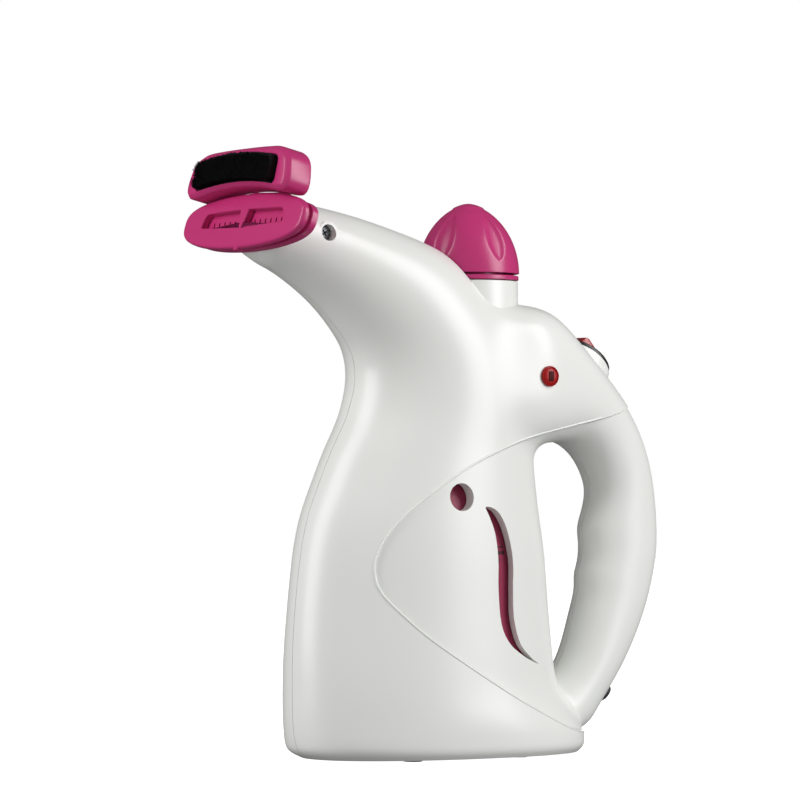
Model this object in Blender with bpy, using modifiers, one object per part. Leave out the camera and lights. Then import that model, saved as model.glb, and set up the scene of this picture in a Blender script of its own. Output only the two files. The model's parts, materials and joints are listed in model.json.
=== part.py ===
"""A hand-held garment steamer, modelled as the separate pieces it comes apart into.

Metres, +Z up. The origin is on the surface the steamer stands on, under the middle of its
box. +X is the handle's side, -X the nozzle's, and -Y the steamer's left flank. Profiles are
written in millimetres from the middle of the base, which the empty "base_centre" places.
"""

import math

import bmesh
import bpy
from mathutils import Matrix, Vector

MM = 0.001
GAP = 0.3  # between touching pieces
BASE_X = -6.2  # the middle of the base, seen from the middle of the whole steamer

# ---------------------------------------------------------------- driving dimensions, mm
WALL = 2.5  # the casing's moulded wall
RECESS = 0.8  # the handle's panel lies this far below the casing
FLOOR = 1.0  # the casing's lower edge, lifted off the table by the feet
SIDES = 24  # points around a rib of the skin
ROOM_SIDES = 16  # and of the hollow inside it
TANK_INSET = 11.0  # from the cup's skin to the tank's

CAP_X = 19.0  # the filler's axis
NECK_RADIUS = 24.0
NECK_BORE = 20.8
NECK_TOP = 228.3
CAP_RADIUS = 24.6
CAP_TOP = 266.6
PLUG_RADIUS = 19.9

HEAD = Vector((-108.5, 0, 253.8))  # the middle of the nozzle's face
HEAD_LEAN = math.radians(17)
NOZZLE = (53.8, 13.4)  # half the face's width and height
BRUSH_HALF = (44.5, 7.2)  # half the block's width and depth
BRUSH = Vector((-103.9, 0, 276.2))  # the middle of the brush block
BRUSH_LEAN = math.radians(13)

SWITCH = Vector((88.7, 0, 194.6))  # the middle of the switch's bezel
SWITCH_SLOPE = math.radians(34.5)
ROCKER_TILT = math.radians(12)

LAMP = Vector((42.7, 0, 182.2))
NECK_SCREW = Vector((-73.9, 0, 248.1))
SIGHT_HOLE = (-10.0, 124.4, 6.6)  # x, z and radius of the round window
GLAND = Vector((99.0, 0, 27.5))
GLAND_LEAN = math.radians(127)

# The cup and the swan's neck: front point, back point (x, z), half the width and the squareness
# of each rib, which is an ellipse at 2.
SWAN = [
    ((-70.0, FLOOR), (76.4, FLOOR), 41.5, 2.2),
    ((-75.5, 3.6), (79.0, 3.6), 44.0, 2.2),
    ((-78.6, 8), (79.8, 8), 45.0, 2.2),
    ((-79.8, 14), (79.0, 14), 45.2, 2.15),
    ((-80.6, 30), (67.5, 30), 44.2, 2.1),
    ((-80.6, 48), (63.0, 48), 43.2, 2.05),
    ((-79.2, 71), (61.0, 71), 42.0, 2),
    ((-76.6, 94), (59.0, 94), 41.0, 2),
    ((-71.5, 117), (55.5, 117), 39.5, 2),
    ((-65.4, 132), (53.5, 132), 38.2, 2),
    ((-58.6, 147), (52.5, 150), 37.0, 2),
    ((-52.2, 159), (53.5, 169), 36.5, 2),
    ((-47.6, 171), (49.0, 190), 36.0, 2),
    ((-45.8, 182), (38.5, 208), 35.0, 2),
    ((-48.0, 193), (24.5, 222.5), 33.4, 2),
    ((-54.8, 203), (9.0, 236.4), 31.2, 2),
    ((-63.4, 212), (-8.0, 245.4), 28.6, 2),
    ((-73.2, 220), (-27.0, 251.6), 26.0, 2),
    ((-84.0, 227), (-47.0, 257), 23.3, 2),
    ((-92.0, 231.3), (-68.0, 261.2), 20.8, 2),
    ((-100.2, 235.2), (-91.8, 263.8), 18.2, 2),
]

# The rear cover and the handle: outer point, inner point (x, z), half the width, squareness.
HANDLE = [
    ((8.0, 219), (8.0, 158), 31.5, 3.0),
    ((24.0, 218.2), (23.0, 152), 33.4, 3.4),
    ((41.0, 216.6), (39.0, 150.5), 33.6, 3.4),
    ((56.5, 213.4), (54.5, 150.0), 31.2, 3.0),
    ((70.6, 203.8), (68.0, 151.0), 27.8, 2.6),
    ((86.5, 190.2), (77.0, 149.5), 23.8, 2.4),
    ((101.0, 177.2), (85.0, 143.0), 19.8, 2.2),
    ((113.0, 163.5), (89.8, 134.0), 17.2, 2.1),
    ((122.6, 145.0), (91.0, 125.5), 15.8, 2),
    ((128.0, 121.0), (88.2, 114.0), 15.2, 2),
    ((128.6, 97.0), (86.4, 97.0), 15.0, 2),
    ((124.3, 77.0), (84.8, 82.5), 15.0, 2),
    ((115.2, 55.0), (80.4, 66.0), 15.2, 2),
    ((103.8, 36.5), (73.5, 46.0), 15.6, 2),
    ((93.0, 21.5), (62.0, 33.0), 16.0, 2),
    ((83.5, 11.5), (50.0, 26.0), 16.4, 2),
    ((68.0, 8.0), (42.0, 22.0), 15.0, 2),
]

# The panel's outline on the flank, from the handle's back round the arrow's tip and back.
PANEL_UPPER = [(150, 184), (113, 170.5), (88, 163.5), (61, 157.8), (38, 153), (15, 146.5),
               (-3.6, 139), (-20.6, 129.1), (-37, 117.4), (-47.5, 106.2), (-52.6, 96)]
PANEL_LOWER = [(-53.6, 88.6), (-51.5, 80.6), (-44.5, 72.1), (-31.5, 60.2), (-15, 49),
               (7.8, 35.7), (30.9, 24.1), (58, 13.4), (84, 9.8), (150, 2)]

# The sight window: a leaning spindle between a front and a back edge.
WINDOW = [(3.6, 119.8), (11.0, 117.7), (16.8, 109.1), (20.2, 94.8), (19.8, 80.6), (19.9, 66.3),
          (23.9, 54.4), (31.8, 47.6), (37.2, 44.6), (27.0, 48.2), (16.8, 54.5), (11.3, 64.1),
          (9.9, 80.7), (10.3, 94.9), (8.9, 106.8), (5.9, 114.6)]


# ---------------------------------------------------------------- tools
for thing in list(bpy.data.objects):
    bpy.data.objects.remove(thing)

PARTS = bpy.data.collections.new("garment_steamer")
CUTTERS = bpy.data.collections.new("cutters")
for group in (PARTS, CUTTERS):
    bpy.context.scene.collection.children.link(group)


def linear(code):
    """A hex sRGB colour as the linear RGBA that a shader takes."""
    channels = [int(code[i : i + 2], 16) / 255 for i in (1, 3, 5)]
    return [c / 12.92 if c <= 0.04045 else ((c + 0.055) / 1.055) ** 2.4 for c in channels] + [1]


def material(name, colour, roughness, metallic=0.0, alpha=1.0):
    made = bpy.data.materials.new(name)
    made.use_nodes = True
    shader = made.node_tree.nodes["Principled BSDF"]
    shader.inputs["Base Color"].default_value = linear(colour)
    shader.inputs["Roughness"].default_value = roughness
    shader.inputs["Metallic"].default_value = metallic
    shader.inputs["Alpha"].default_value = alpha
    return made


WHITE = material("white_abs", "#f0f1ec", 0.28)
PANEL_WHITE = material("panel_abs", "#eeefeb", 0.32)
PINK = material("pink_abs", "#c6437f", 0.3)
BLACK = material("black_plastic", "#16161a", 0.4)
BRISTLE = material("black_nylon", "#0a0a0c", 0.7)
TANK_PINK = material("tinted_tank", "#a02a58", 0.15, alpha=0.8)
RED = material("red_lens", "#a81e22", 0.15, alpha=0.85)
RUBBER = material("rubber", "#303034", 0.75)
SILICONE = material("silicone", "#dcd8cf", 0.5)
STEEL = material("steel", "#b9bcc0", 0.3, 1.0)
ALUMINIUM = material("aluminium", "#c9cbce", 0.45, 1.0)
BRASS = material("brass", "#c8a252", 0.35, 1.0)
LIVE = material("brown_sheath", "#6b3f22", 0.5)
NEUTRAL = material("blue_sheath", "#2a5aa8", 0.5)


def finished(piece, finish):
    """Give the piece its material and put it among the parts."""
    piece.data.materials.clear()
    piece.data.materials.append(finish)
    for group in list(piece.users_collection):
        group.objects.unlink(piece)
    PARTS.objects.link(piece)
    return piece


def as_object(name, form):
    """A new cutter or part-to-be from a bmesh or a mesh; finished() turns it into a part."""
    if isinstance(form, bmesh.types.BMesh):
        mesh = bpy.data.meshes.new(name)
        form.to_mesh(mesh)
        form.free()
    else:
        mesh = form
    made = bpy.data.objects.new(name, mesh)
    made.hide_render = True
    made.display_type = "WIRE"
    CUTTERS.objects.link(made)
    return made


def baked(name, source):
    """The evaluated shape of an object, welded, as a new object in the same place."""
    bpy.context.view_layer.update()
    seen = source.evaluated_get(bpy.context.evaluated_depsgraph_get())
    mesh = bpy.data.meshes.new_from_object(seen)
    form = bmesh.new()
    form.from_mesh(mesh)
    bmesh.ops.remove_doubles(form, verts=form.verts, dist=1e-6)
    form.to_mesh(mesh)
    form.free()
    made = as_object(name, mesh)
    made.matrix_world = source.matrix_world.copy()
    return made


def combined(name, base, *steps):
    """base joined with, cut by or kept inside each tool in turn, as one new mesh."""
    result = baked(name, base)
    for operation, tool in steps:
        step = result.modifiers.new(operation, "BOOLEAN")
        step.operation = operation
        step.object = tool
        step.solver = "EXACT"
    final = baked(name + "_made", result)
    bpy.data.objects.remove(result)
    final.name = name
    return final


def part(name, base, finish, *steps):
    """A combined() piece that is one of the steamer's parts."""
    made = finished(combined(name, base, *steps), finish)
    made.hide_render = False
    made.display_type = "TEXTURED"
    for face in made.data.polygons:
        face.use_smooth = True
    made.data.set_sharp_from_angle(angle=math.radians(35))
    return made


def loft(name, rings, ring_of_rings=False):
    """A skin over rings of equal counts, capped, or joined last to first as a thick tube."""
    form = bmesh.new()
    rows = [[form.verts.new(Vector(p) * MM) for p in ring] for ring in rings]
    count = len(rows[0])
    pairs = list(zip(rows, rows[1:] + rows[:1])) if ring_of_rings else list(zip(rows, rows[1:]))
    for lower, upper in pairs:
        for i in range(count):
            j = (i + 1) % count
            form.faces.new((lower[i], lower[j], upper[j], upper[i]))
    if not ring_of_rings:
        form.faces.new(list(reversed(rows[0])))
        form.faces.new(rows[-1])
    bmesh.ops.recalc_face_normals(form, faces=form.faces)
    return as_object(name, form)


def rib(front, back, half_width, power=2.0, inset=0.0, sides=SIDES):
    """A squared oval through two points of the XZ plane, half_width out to each side."""
    front, back = Vector((front[0], 0, front[1])), Vector((back[0], 0, back[1]))
    middle = (front + back) / 2
    along = (back - front).normalized()
    half = (back - front).length / 2 - inset
    ring = []
    for i in range(sides):
        turn = math.tau * i / sides
        c, s = math.cos(turn), math.sin(turn)
        u = math.copysign(abs(c) ** (2 / power), c) * half
        v = math.copysign(abs(s) ** (2 / power), s) * (half_width - inset)
        ring.append(middle + along * u + Vector((0, v, 0)))
    return ring


def oval(centre, half_x, half_y, z, sides=SIDES):
    """A level oval, its points counted like a rib's."""
    turns = [math.tau * i / sides for i in range(sides)]
    return [Vector((centre + half_x * math.cos(t), half_y * math.sin(t), z)) for t in turns]


def smooth(points, steps=3, closed=False):
    """A Catmull-Rom curve through the points, steps pieces to a span."""
    count = len(points)
    spans = count if closed else count - 1
    def at(i):
        return Vector(points[i % count] if closed else points[min(max(i, 0), count - 1)])
    curve = []
    for i in range(spans):
        a, b, c, d = at(i - 1), at(i), at(i + 1), at(i + 2)
        for k in range(steps):
            t = k / steps
            curve.append(0.5 * (2 * b + (c - a) * t + (2 * a - 5 * b + 4 * c - d) * t * t
                                + (3 * b - a - 3 * c + d) * t ** 3))
    if not closed:
        curve.append(at(count - 1))
    return curve


def grown(outline, distance):
    """The closed outline moved outwards by distance, corner by corner."""
    count = len(outline)
    area = sum(outline[i - 1].x * outline[i].y - outline[i].x * outline[i - 1].y for i in range(count))
    side = 1 if area > 0 else -1
    result = []
    for i in range(count):
        before = (outline[i] - outline[i - 1]).normalized()
        after = (outline[(i + 1) % count] - outline[i]).normalized()
        normal = Vector((before.y + after.y, -before.x - after.x)).normalized() * side
        stretch = max(0.5, normal.dot(Vector((before.y, -before.x)) * side))
        result.append(outline[i] + normal * (distance / stretch))
    return result


def flank_prism(name, outline, low, high):
    """An XZ outline carried from y = low to y = high."""
    return loft(name, [[(p.x, y, p.y) for p in outline] for y in (low, high)])


def face_prism(name, outline, low, high):
    """A YZ outline, seen from the front, carried along the local X from low to high."""
    return loft(name, [[(x, p.x, p.y) for p in outline] for x in (low, high)])


def box(name, low, high):
    form = bmesh.new()
    low, high = Vector(low) * MM, Vector(high) * MM
    size = high - low
    grow = Matrix.Translation((low + high) / 2) @ Matrix.Diagonal((*size, 1))
    bmesh.ops.create_cube(form, size=1, matrix=grow)
    return as_object(name, form)


def rod(name, start, end, radius, sides=20):
    """A plain cylinder between two points."""
    start, end = Vector(start) * MM, Vector(end) * MM
    way = end - start
    pose = Matrix.Translation((start + end) / 2) @ way.to_track_quat("Z", "Y").to_matrix().to_4x4()
    form = bmesh.new()
    bmesh.ops.create_cone(form, cap_ends=True, segments=sides, radius1=radius * MM,
                          radius2=radius * MM, depth=way.length, matrix=pose)
    return as_object(name, form)


def turned(name, profile, steps=24):
    """A profile of (radius, height), running down its outer side, turned about local Z."""
    form = bmesh.new()
    points = [form.verts.new((r * MM, 0, z * MM)) for r, z in profile]
    closed = profile[0][0] > 0 or profile[-1][0] > 0
    for a, b in zip(points, points[1:] + (points[:1] if closed else [])):
        form.edges.new((a, b))
    made = as_object(name, form)
    screw = made.modifiers.new("turn", "SCREW")
    screw.steps = screw.render_steps = steps
    screw.use_merge_vertices = True
    screw.merge_threshold = 1e-5
    return made


def tube(name, points, radius, bore=0.0, resolution=2):
    """A bent tube along points; with a bore, it is open at both ends."""
    data = bpy.data.curves.new(name, "CURVE")
    data.dimensions = "3D"
    data.bevel_depth = radius * MM
    data.bevel_resolution = resolution
    data.use_fill_caps = bore == 0
    run = data.splines.new("POLY")
    run.points.add(len(points) - 1)
    for spot, p in zip(run.points, points):
        spot.co = (*(Vector(p) * MM), 1)
    source = bpy.data.objects.new(name + "_curve", data)
    bpy.context.scene.collection.objects.link(source)
    made = baked(name, source)
    bpy.data.objects.remove(source)
    if bore:
        wall = made.modifiers.new("wall", "SOLIDIFY")
        wall.thickness = (radius - bore) * MM
        wall.offset = -1
    return made


def posed(piece, location, turn_y=0.0):
    """Put a piece by its own origin, turned about Y."""
    piece.location = Vector(location) * MM
    piece.rotation_euler = (0, turn_y, 0)
    return piece


def cup_rib(z, inset=0.0):
    """A level rib of the cup at any height below the neck."""
    for (f0, b0, w0, p0), (f1, b1, w1, p1) in zip(SWAN, SWAN[1:]):
        if f0[1] <= z <= f1[1]:
            t = (z - f0[1]) / (f1[1] - f0[1])
            front, back = f0[0] + (f1[0] - f0[0]) * t, b0[0] + (b1[0] - b0[0]) * t
            return rib((front, z), (back, z), w0 + (w1 - w0) * t, p0 + (p1 - p0) * t, inset)
    raise ValueError("outside the cup")


# ---------------------------------------------------------------- the skin
def skin(name, swan_inset, handle_inset, past_ends=False):
    """The swan's body and its handle as one solid, each pulled in by its inset."""
    sides = ROOM_SIDES if past_ends else SIDES
    swan = [rib(*r, inset=swan_inset, sides=sides) for r in SWAN]
    if past_ends:
        swan.insert(0, [p - Vector((0, 0, 6)) for p in swan[0]])
        way = Vector((-8, 0, 2.4))
        swan.append([p + way for p in swan[-1]])
    handle = [rib(*r, inset=handle_inset, sides=sides) for r in HANDLE]
    return combined(name, loft(name + "_swan", swan), ("UNION", loft(name + "_handle", handle)))


def panel_outline():
    return smooth(PANEL_UPPER[1:] + PANEL_LOWER[:-1], 2) + [Vector(PANEL_LOWER[-1]), Vector(PANEL_UPPER[0])]


outline = panel_outline()
panel_hole = flank_prism("panel_hole", grown(outline, GAP / 2), -70, 70)
panel_block = flank_prism("panel_block", grown(outline, -GAP / 2), -70, 70)
left_half = box("left_half", (-200, -90, -20), (200, -GAP / 2, 320))
right_half = box("right_half", (-200, GAP / 2, -20), (200, 90, 320))

window = smooth(WINDOW, 2, closed=True)
sight_x, sight_z, sight_radius = SIGHT_HOLE
sight = [Vector((sight_x + sight_radius * math.cos(math.tau * i / 20),
                 sight_z + sight_radius * math.sin(math.tau * i / 20))) for i in range(20)]
WELL_FLOOR = 31.0  # the wells round the windows reach in this far from the middle plane


def switch_local(x, z):
    """A point of the switch's own frame, x down the slope and z out of it."""
    turn = Matrix.Rotation(SWITCH_SLOPE, 3, "Y")
    return SWITCH + turn @ Vector((x, 0, z))


def build_shells():
    casing_skin = skin("casing_skin", 0, -RECESS)
    casing_room = skin("casing_room", WALL, WALL - RECESS, past_ends=True)
    panel_skin = skin("panel_skin", RECESS, 0)
    panel_room = skin("panel_room", RECESS + WALL, WALL, past_ends=True)

    pod = posed(loft("pod", [oval(0, 16, 11.6, -16), oval(0, 15.4, 11.2, -1.1)]), SWITCH, SWITCH_SLOPE)
    pod_room = posed(box("pod_room", (-11.4, -8.0, -24), (11.4, 8.0, 5)), SWITCH, SWITCH_SLOPE)
    filler_low = rod("filler_low", (CAP_X, 0, 196), (CAP_X, 0, 300), NECK_RADIUS + 0.5, 28)
    filler_high = rod("filler_high", (CAP_X, 0, 227), (CAP_X, 0, 300), CAP_RADIUS + 0.9, 28)
    lamp_hole = rod("lamp_hole", LAMP + Vector((0, -60, 0)), LAMP + Vector((0, -20, 0)), 4.4)
    screw_post = rod("screw_post", NECK_SCREW + Vector((0, -30, 0)), NECK_SCREW + Vector((0, 30, 0)), 4.6)
    screw_hole = rod("screw_hole", NECK_SCREW + Vector((0, -30, 0)), NECK_SCREW + Vector((0, 9, 0)), 1.7, 12)
    screw_seat = rod("screw_seat", NECK_SCREW + Vector((0, -40, 0)), NECK_SCREW + Vector((0, -14.5, 0)), 3.9)
    posts, post_holes = [], []
    for x in (-46, 46):
        for y in (-24, 24):
            out = 1 if y > 0 else -1
            post = rod("post", (x, y, 4.8), (x, y, 12.6), 4.2, 12)
            web = box("web", (x - 1.6, min(y, y + 14 * out), 5.4), (x + 1.6, max(y, y + 14 * out), 11.6))
            posts.append(combined("post", post, ("UNION", web)))
            post_holes.append(rod("post_hole", (x, y, 0), (x, y, 20), 1.7, 10))

    room = combined("room", casing_room, ("DIFFERENCE", screw_post), *[("DIFFERENCE", p) for p in posts])
    whole = combined("casing", casing_skin, ("UNION", pod), ("DIFFERENCE", room),
                     ("DIFFERENCE", panel_hole), ("DIFFERENCE", pod_room), ("DIFFERENCE", filler_low),
                     ("DIFFERENCE", filler_high), ("DIFFERENCE", lamp_hole), ("DIFFERENCE", screw_hole),
                     ("DIFFERENCE", screw_seat), *[("DIFFERENCE", h) for h in post_holes])
    part("casing_left", whole, WHITE, ("INTERSECT", left_half))
    part("casing_right", whole, WHITE, ("INTERSECT", right_half))

    wells = []
    for outline_ in (window, sight):
        for low, high in ((-60, -WELL_FLOOR), (WELL_FLOOR, 60)):
            wells.append(flank_prism("well", grown(outline_, 1.8), low, high))
    hollow = combined("hollow", panel_room, *[("DIFFERENCE", w) for w in wells])
    gland_way = Vector((math.sin(GLAND_LEAN), 0, math.cos(GLAND_LEAN)))
    gland_hole = rod("gland_hole", GLAND - gland_way * 20, GLAND + gland_way * 20, 5.3)
    panel = combined("panel", panel_skin, ("DIFFERENCE", hollow), ("INTERSECT", panel_block),
                     ("DIFFERENCE", flank_prism("window_cut", window, -60, 60)),
                     ("DIFFERENCE", flank_prism("sight_cut", sight, -60, 60)),
                     ("DIFFERENCE", gland_hole))
    part("handle_left", panel, PANEL_WHITE, ("INTERSECT", left_half))
    part("handle_right", panel, PANEL_WHITE, ("INTERSECT", right_half))


# ---------------------------------------------------------------- base, water and heat
def build_base():
    plate = loft("plate", [cup_rib(FLOOR, WALL + 1.5), cup_rib(FLOOR + 2.9, WALL + 5)])
    steps = []
    for x in (-46, 46):
        for y in (-24, 24):
            steps.append(("DIFFERENCE", rod("cover_hole", (x, y, 0), (x, y, 6), 1.9, 10)))
            steps.append(("DIFFERENCE", rod("cover_seat", (x, y, 0), (x, y, 2.7), 3.4, 14)))
    for x in (-30, 30):
        for y in (-26, 26):
            steps.append(("DIFFERENCE", rod("foot_seat", (x, y, 0), (x, y, 2.7), 5.3, 16)))
    part("base_cover", plate, WHITE, *steps)
    count = 0
    for x in (-46, 46):
        for y in (-24, 24):
            count += 1
            screw = turned("screw", [(0, 12), (1.4, 11), (1.4, 2.4), (3.0, 2.4), (3.0, 1.4), (0, 1.4)], 10)
            part(f"base_screw_{count}", posed(screw, (x, y, 0)), STEEL)
    count = 0
    for x in (-30, 30):
        for y in (-26, 26):
            count += 1
            foot = turned(f"foot_{count}_form", [(0, 2.4), (4.9, 2.4), (4.9, 0.5), (4.3, 0), (0, 0)], 16)
            part(f"foot_{count}", posed(foot, (x, y, 0)), RUBBER)


def build_water():
    def tank_wall(inset):
        rings = [cup_rib(z, TANK_INSET + inset) for z in (21, 48, 94, 136)]
        rings += [oval(0, 41 - inset, 25.5 - inset, 150), oval(8.5, 34 - inset, 25.5 - inset, 159 - inset / 2)]
        return rings
    collar = [oval(CAP_X, 25.4, 25.4, 165), oval(CAP_X, 25.4, 25.4, 172)]
    mouth = [oval(CAP_X, NECK_BORE, NECK_BORE, 172), oval(CAP_X, NECK_BORE, NECK_BORE, 163)]
    tank = loft("tank_form", tank_wall(0) + collar + mouth + tank_wall(2)[::-1], ring_of_rings=True)
    outlet = rod("outlet", (-33, 0, 165), (-25, 0, 142), 5.9, 16)
    part("tank", tank, TANK_PINK, ("DIFFERENCE", outlet))

    spot = Vector((-29.35, 0, 154.6))
    lean = math.atan2(-8, 23)
    grommet = turned("grommet", [(4.6, 3.5), (5.6, 3.5), (5.6, -3.5), (4.6, -3.5)], 16)
    part("steam_grommet", posed(grommet, spot, lean), RUBBER)
    way = Vector((math.sin(lean), 0, math.cos(lean)))
    inward = Vector((math.cos(HEAD_LEAN), 0, -math.sin(HEAD_LEAN)))
    hose = [spot - way * 10, spot - way * 4, spot + way * 4, spot + way * 12, (-35, 0, 178), (-34.5, 0, 192),
            (-37, 0, 206), (-44, 0, 218.5), (-54, 0, 227.5), (-65, 0, 234), (-75, 0, 238.4), (-81.2, 0, 242.4),
            HEAD + inward * 24.4, HEAD + inward * 19.2]
    part("steam_tube", tube("steam_hose", hose, 4.2, bore=3.1), SILICONE)

    seal = turned("seal", [(NECK_BORE + 0.6, 173.9), (NECK_RADIUS, 173.9), (NECK_RADIUS, 172.3),
                           (NECK_BORE + 0.6, 172.3)], 28)
    part("filler_seal", posed(seal, (CAP_X, 0, 0)), RUBBER)
    flange = NECK_RADIUS + 2.0
    neck = turned("neck", [(NECK_BORE + 1.3, NECK_TOP), (NECK_RADIUS - 0.4, NECK_TOP), (NECK_RADIUS, NECK_TOP - 0.6),
                           (NECK_RADIUS, 177.2), (flange, 177.2), (flange, 174.2), (NECK_BORE, 174.2),
                           (NECK_BORE, NECK_TOP - 2.2), (NECK_BORE + 1.3, NECK_TOP - 2.2)], 28)
    part("filler_neck", posed(neck, (CAP_X, 0, 0)), WHITE)


def build_heat():
    seal = loft("heat_seal", [cup_rib(20.6, 11.4), cup_rib(19.0, 11.4), cup_rib(19.0, 15), cup_rib(20.6, 15)],
                ring_of_rings=True)
    part("heater_seal", seal, SILICONE)
    plate = loft("heat_plate", [cup_rib(14.6, 11), cup_rib(18.7, 11)])
    part("heating_plate", plate, ALUMINIUM)
    bend = [Vector((-34 - 18 * math.cos(a), 18 * math.sin(a), 10.6))
            for a in (math.pi / 2 - i * math.pi / 8 for i in range(9))]
    run = [(37, 18, 10.6), (10, 18, 10.6)] + bend + [(10, -18, 10.6), (37, -18, 10.6)]
    part("heater_element", tube("element", run, 3.4), STEEL)
    body = turned("cutout", [(0, 14.2), (8, 14.2), (8, 8.6), (5.2, 8.6), (5.2, 6.4), (0, 6.4)], 20)
    part("thermostat", posed(body, (6, 0, 0)), STEEL)
    part("thermal_fuse", tube("fuse", [(-22, 0, 11.8), (-12, 0, 11.8), (-8, 0, 11.8)], 2.0), BRASS)


# ---------------------------------------------------------------- the filler's cap
def build_cap():
    skirt = NECK_TOP + 3.6
    def ogive(height):
        return CAP_RADIUS * (1 - height * height) ** 0.58
    heights = [math.sin(math.pi / 2 * i / 8) for i in range(9)]
    outer = [(ogive(t), skirt + (CAP_TOP - skirt) * t) for t in reversed(heights)]
    inner = [(r - 2.2, z - 1.6 * (i > 0)) for i, (r, z) in enumerate(reversed(outer[2:]))]
    dome = outer + inner + [(0, CAP_TOP - 2.6)]
    part("cap_dome", posed(turned("dome", dome, 28), (CAP_X, 0, 0)), PINK)

    flange = NECK_TOP + 0.4
    plug = [(15.2, 243), (17.2, 243), (17.2, flange + 2.2), (CAP_RADIUS - 0.3, flange + 2.2),
            (CAP_RADIUS - 0.3, flange), (PLUG_RADIUS, flange), (PLUG_RADIUS, 206), (2.9, 206), (2.9, 208.6),
            (15.2, 208.6)]
    part("cap_plug", posed(turned("plug", plug, 28), (CAP_X, 0, 0)), PINK)
    lid = [(2.4, 242.4), (14.8, 242.4), (14.8, 240.2), (2.4, 240.2)]
    part("cap_plug_lid", posed(turned("lid", lid, 24), (CAP_X, 0, 0)), PINK)
    inside, outside = PLUG_RADIUS + 0.3, NECK_BORE + 1.0
    gasket = [(inside, NECK_TOP + 0.1), (outside, NECK_TOP + 0.1), (outside, NECK_TOP - 1.9),
              (inside, NECK_TOP - 1.9)]
    part("cap_gasket", posed(turned("gasket", gasket, 28), (CAP_X, 0, 0)), RUBBER)

    def coil(name, radius, wire, low, high, turns):
        count = turns * 9
        points = [Vector((radius * math.cos(math.tau * i / 9), radius * math.sin(math.tau * i / 9),
                          low + wire + (high - low - 2 * wire) * i / count)) for i in range(count + 1)]
        part(name, posed(tube(name + "_wire", points, wire), (CAP_X, 0, 0)), STEEL)
    coil("cap_spring", 6.5, 0.7, 242.7, 261.2, 4)
    coil("relief_spring", 5.0, 0.6, 211.4, 239.9, 5)
    poppet = [(0, 210.9), (6.2, 210.9), (6.2, 208.9), (2.4, 208.9), (2.4, 203.6), (0, 203.6)]
    part("relief_valve", posed(turned("poppet", poppet, 16), (CAP_X, 0, 0)), BRASS)


# ---------------------------------------------------------------- the steam head
def lens(inset, sides=36):
    """The nozzle's outline, seen from the front: y and z."""
    width, height = NOZZLE[0] - inset, NOZZLE[1] - inset
    turns = [math.tau * i / sides for i in range(sides)]
    return [Vector((width * math.cos(t), math.copysign(abs(math.sin(t)) ** (2 / 3), math.sin(t)) * height))
            for t in turns]


def head_ring(x, outline_):
    return [(x, p.x, p.y) for p in outline_]


def head_oval(x, half_y, half_z, z=0.0, sides=36):
    return [(x, half_y * math.cos(math.tau * i / sides), z + half_z * math.sin(math.tau * i / sides))
            for i in range(sides)]


SLOT = [(4.2, 5.8), (31.0, 5.2), (35.0, 4.0), (36.2, 1.4), (35.2, -1.4), (20.0, -2.4), (1.8, -3.0)]


def build_head():
    plate = loft("face_plate", [head_ring(0, lens(0.8)), head_ring(0.9, lens(0)), head_ring(3.4, lens(0))])
    nub = box("nub", (0.4, -1.6, -14.4), (3.0, 1.6, -11.5))
    steps = [("UNION", posed(nub, HEAD, HEAD_LEAN))]
    for side in (-1, 1):
        slot = face_prism("slot", [Vector((y * side, z)) for y, z in SLOT], -3, 6)
        steps.append(("DIFFERENCE", posed(slot, HEAD, HEAD_LEAN)))
    part("nozzle_plate", posed(plate, HEAD, HEAD_LEAN), PINK, *steps)

    sheet = loft("sheet", [head_ring(3.7, lens(6.6, 24)), head_ring(5.0, lens(6.6, 24))])
    steps = []
    for side in (-1, 1):
        for i in range(6):
            y = side * (6.5 + 4.6 * i)
            slit = box("slit", (3, y - 0.7, -2.6), (6, y + 0.7, -0.2))
            steps.append(("DIFFERENCE", posed(slit, HEAD, HEAD_LEAN)))
    part("nozzle_diffuser", posed(sheet, HEAD, HEAD_LEAN), PINK, *steps)

    rear = loft("rear", [head_ring(3.7, lens(2.4)), head_ring(5.6, lens(2.4)), head_ring(5.7, lens(0.7)),
                         head_ring(9.2, lens(0.7)), head_oval(9.3, 26, 12.0), head_oval(12.4, 18.6, 14.8, -0.4)])
    spigot = loft("spigot", [head_oval(11, 15.0, 11.4, -0.4, 24), head_oval(18, 14.6, 11.0, -0.4, 24)])
    nipple = rod("nipple", (12, 0, 0), (22.6, 0, 0), 2.7, 14)
    chamber = loft("chamber", [head_ring(2, lens(6.2, 24)), head_ring(7.6, lens(6.2, 24))])
    bore = rod("bore", (5, 0, 0), (30, 0, 0), 1.8, 10)
    tools = [("UNION", spigot), ("UNION", nipple), ("DIFFERENCE", chamber), ("DIFFERENCE", bore)]
    for _, tool in tools:
        posed(tool, HEAD, HEAD_LEAN)
    part("nozzle_housing", posed(rear, HEAD, HEAD_LEAN), PINK, *tools)

    screw = turned("crosshead", [(0, 0), (3.3, -0.3), (3.3, -2.6), (1.4, -2.6), (1.4, -23), (0, -24)], 16)
    screw.rotation_euler = (math.pi / 2, 0, 0)
    screw.location = (NECK_SCREW + Vector((0, -17.6, 0))) * MM
    part("neck_screw", screw, STEEL)


def band(half_width, low, high, bow, sides=8):
    """A curved band seen from the front: an arch with cut corners whose lower edge is concave."""
    across = [half_width * (1 - 2 * i / sides) for i in range(sides + 1)]
    def edge(y, z, corner):
        return Vector((y, z - bow * (y / half_width) ** 2 + (corner if abs(y) == half_width else 0)))
    return [edge(y, high, -3) for y in across] + [edge(y, low, 2) for y in reversed(across)]


BLOCK = [(0, 10.4), (20, 10.2), (34, 9.2), (43.6, 3.0), (44.5, -5.5), (42.6, -11.2), (38, -11.8), (20, -9.2),
         (0, -8.2)]


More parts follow.
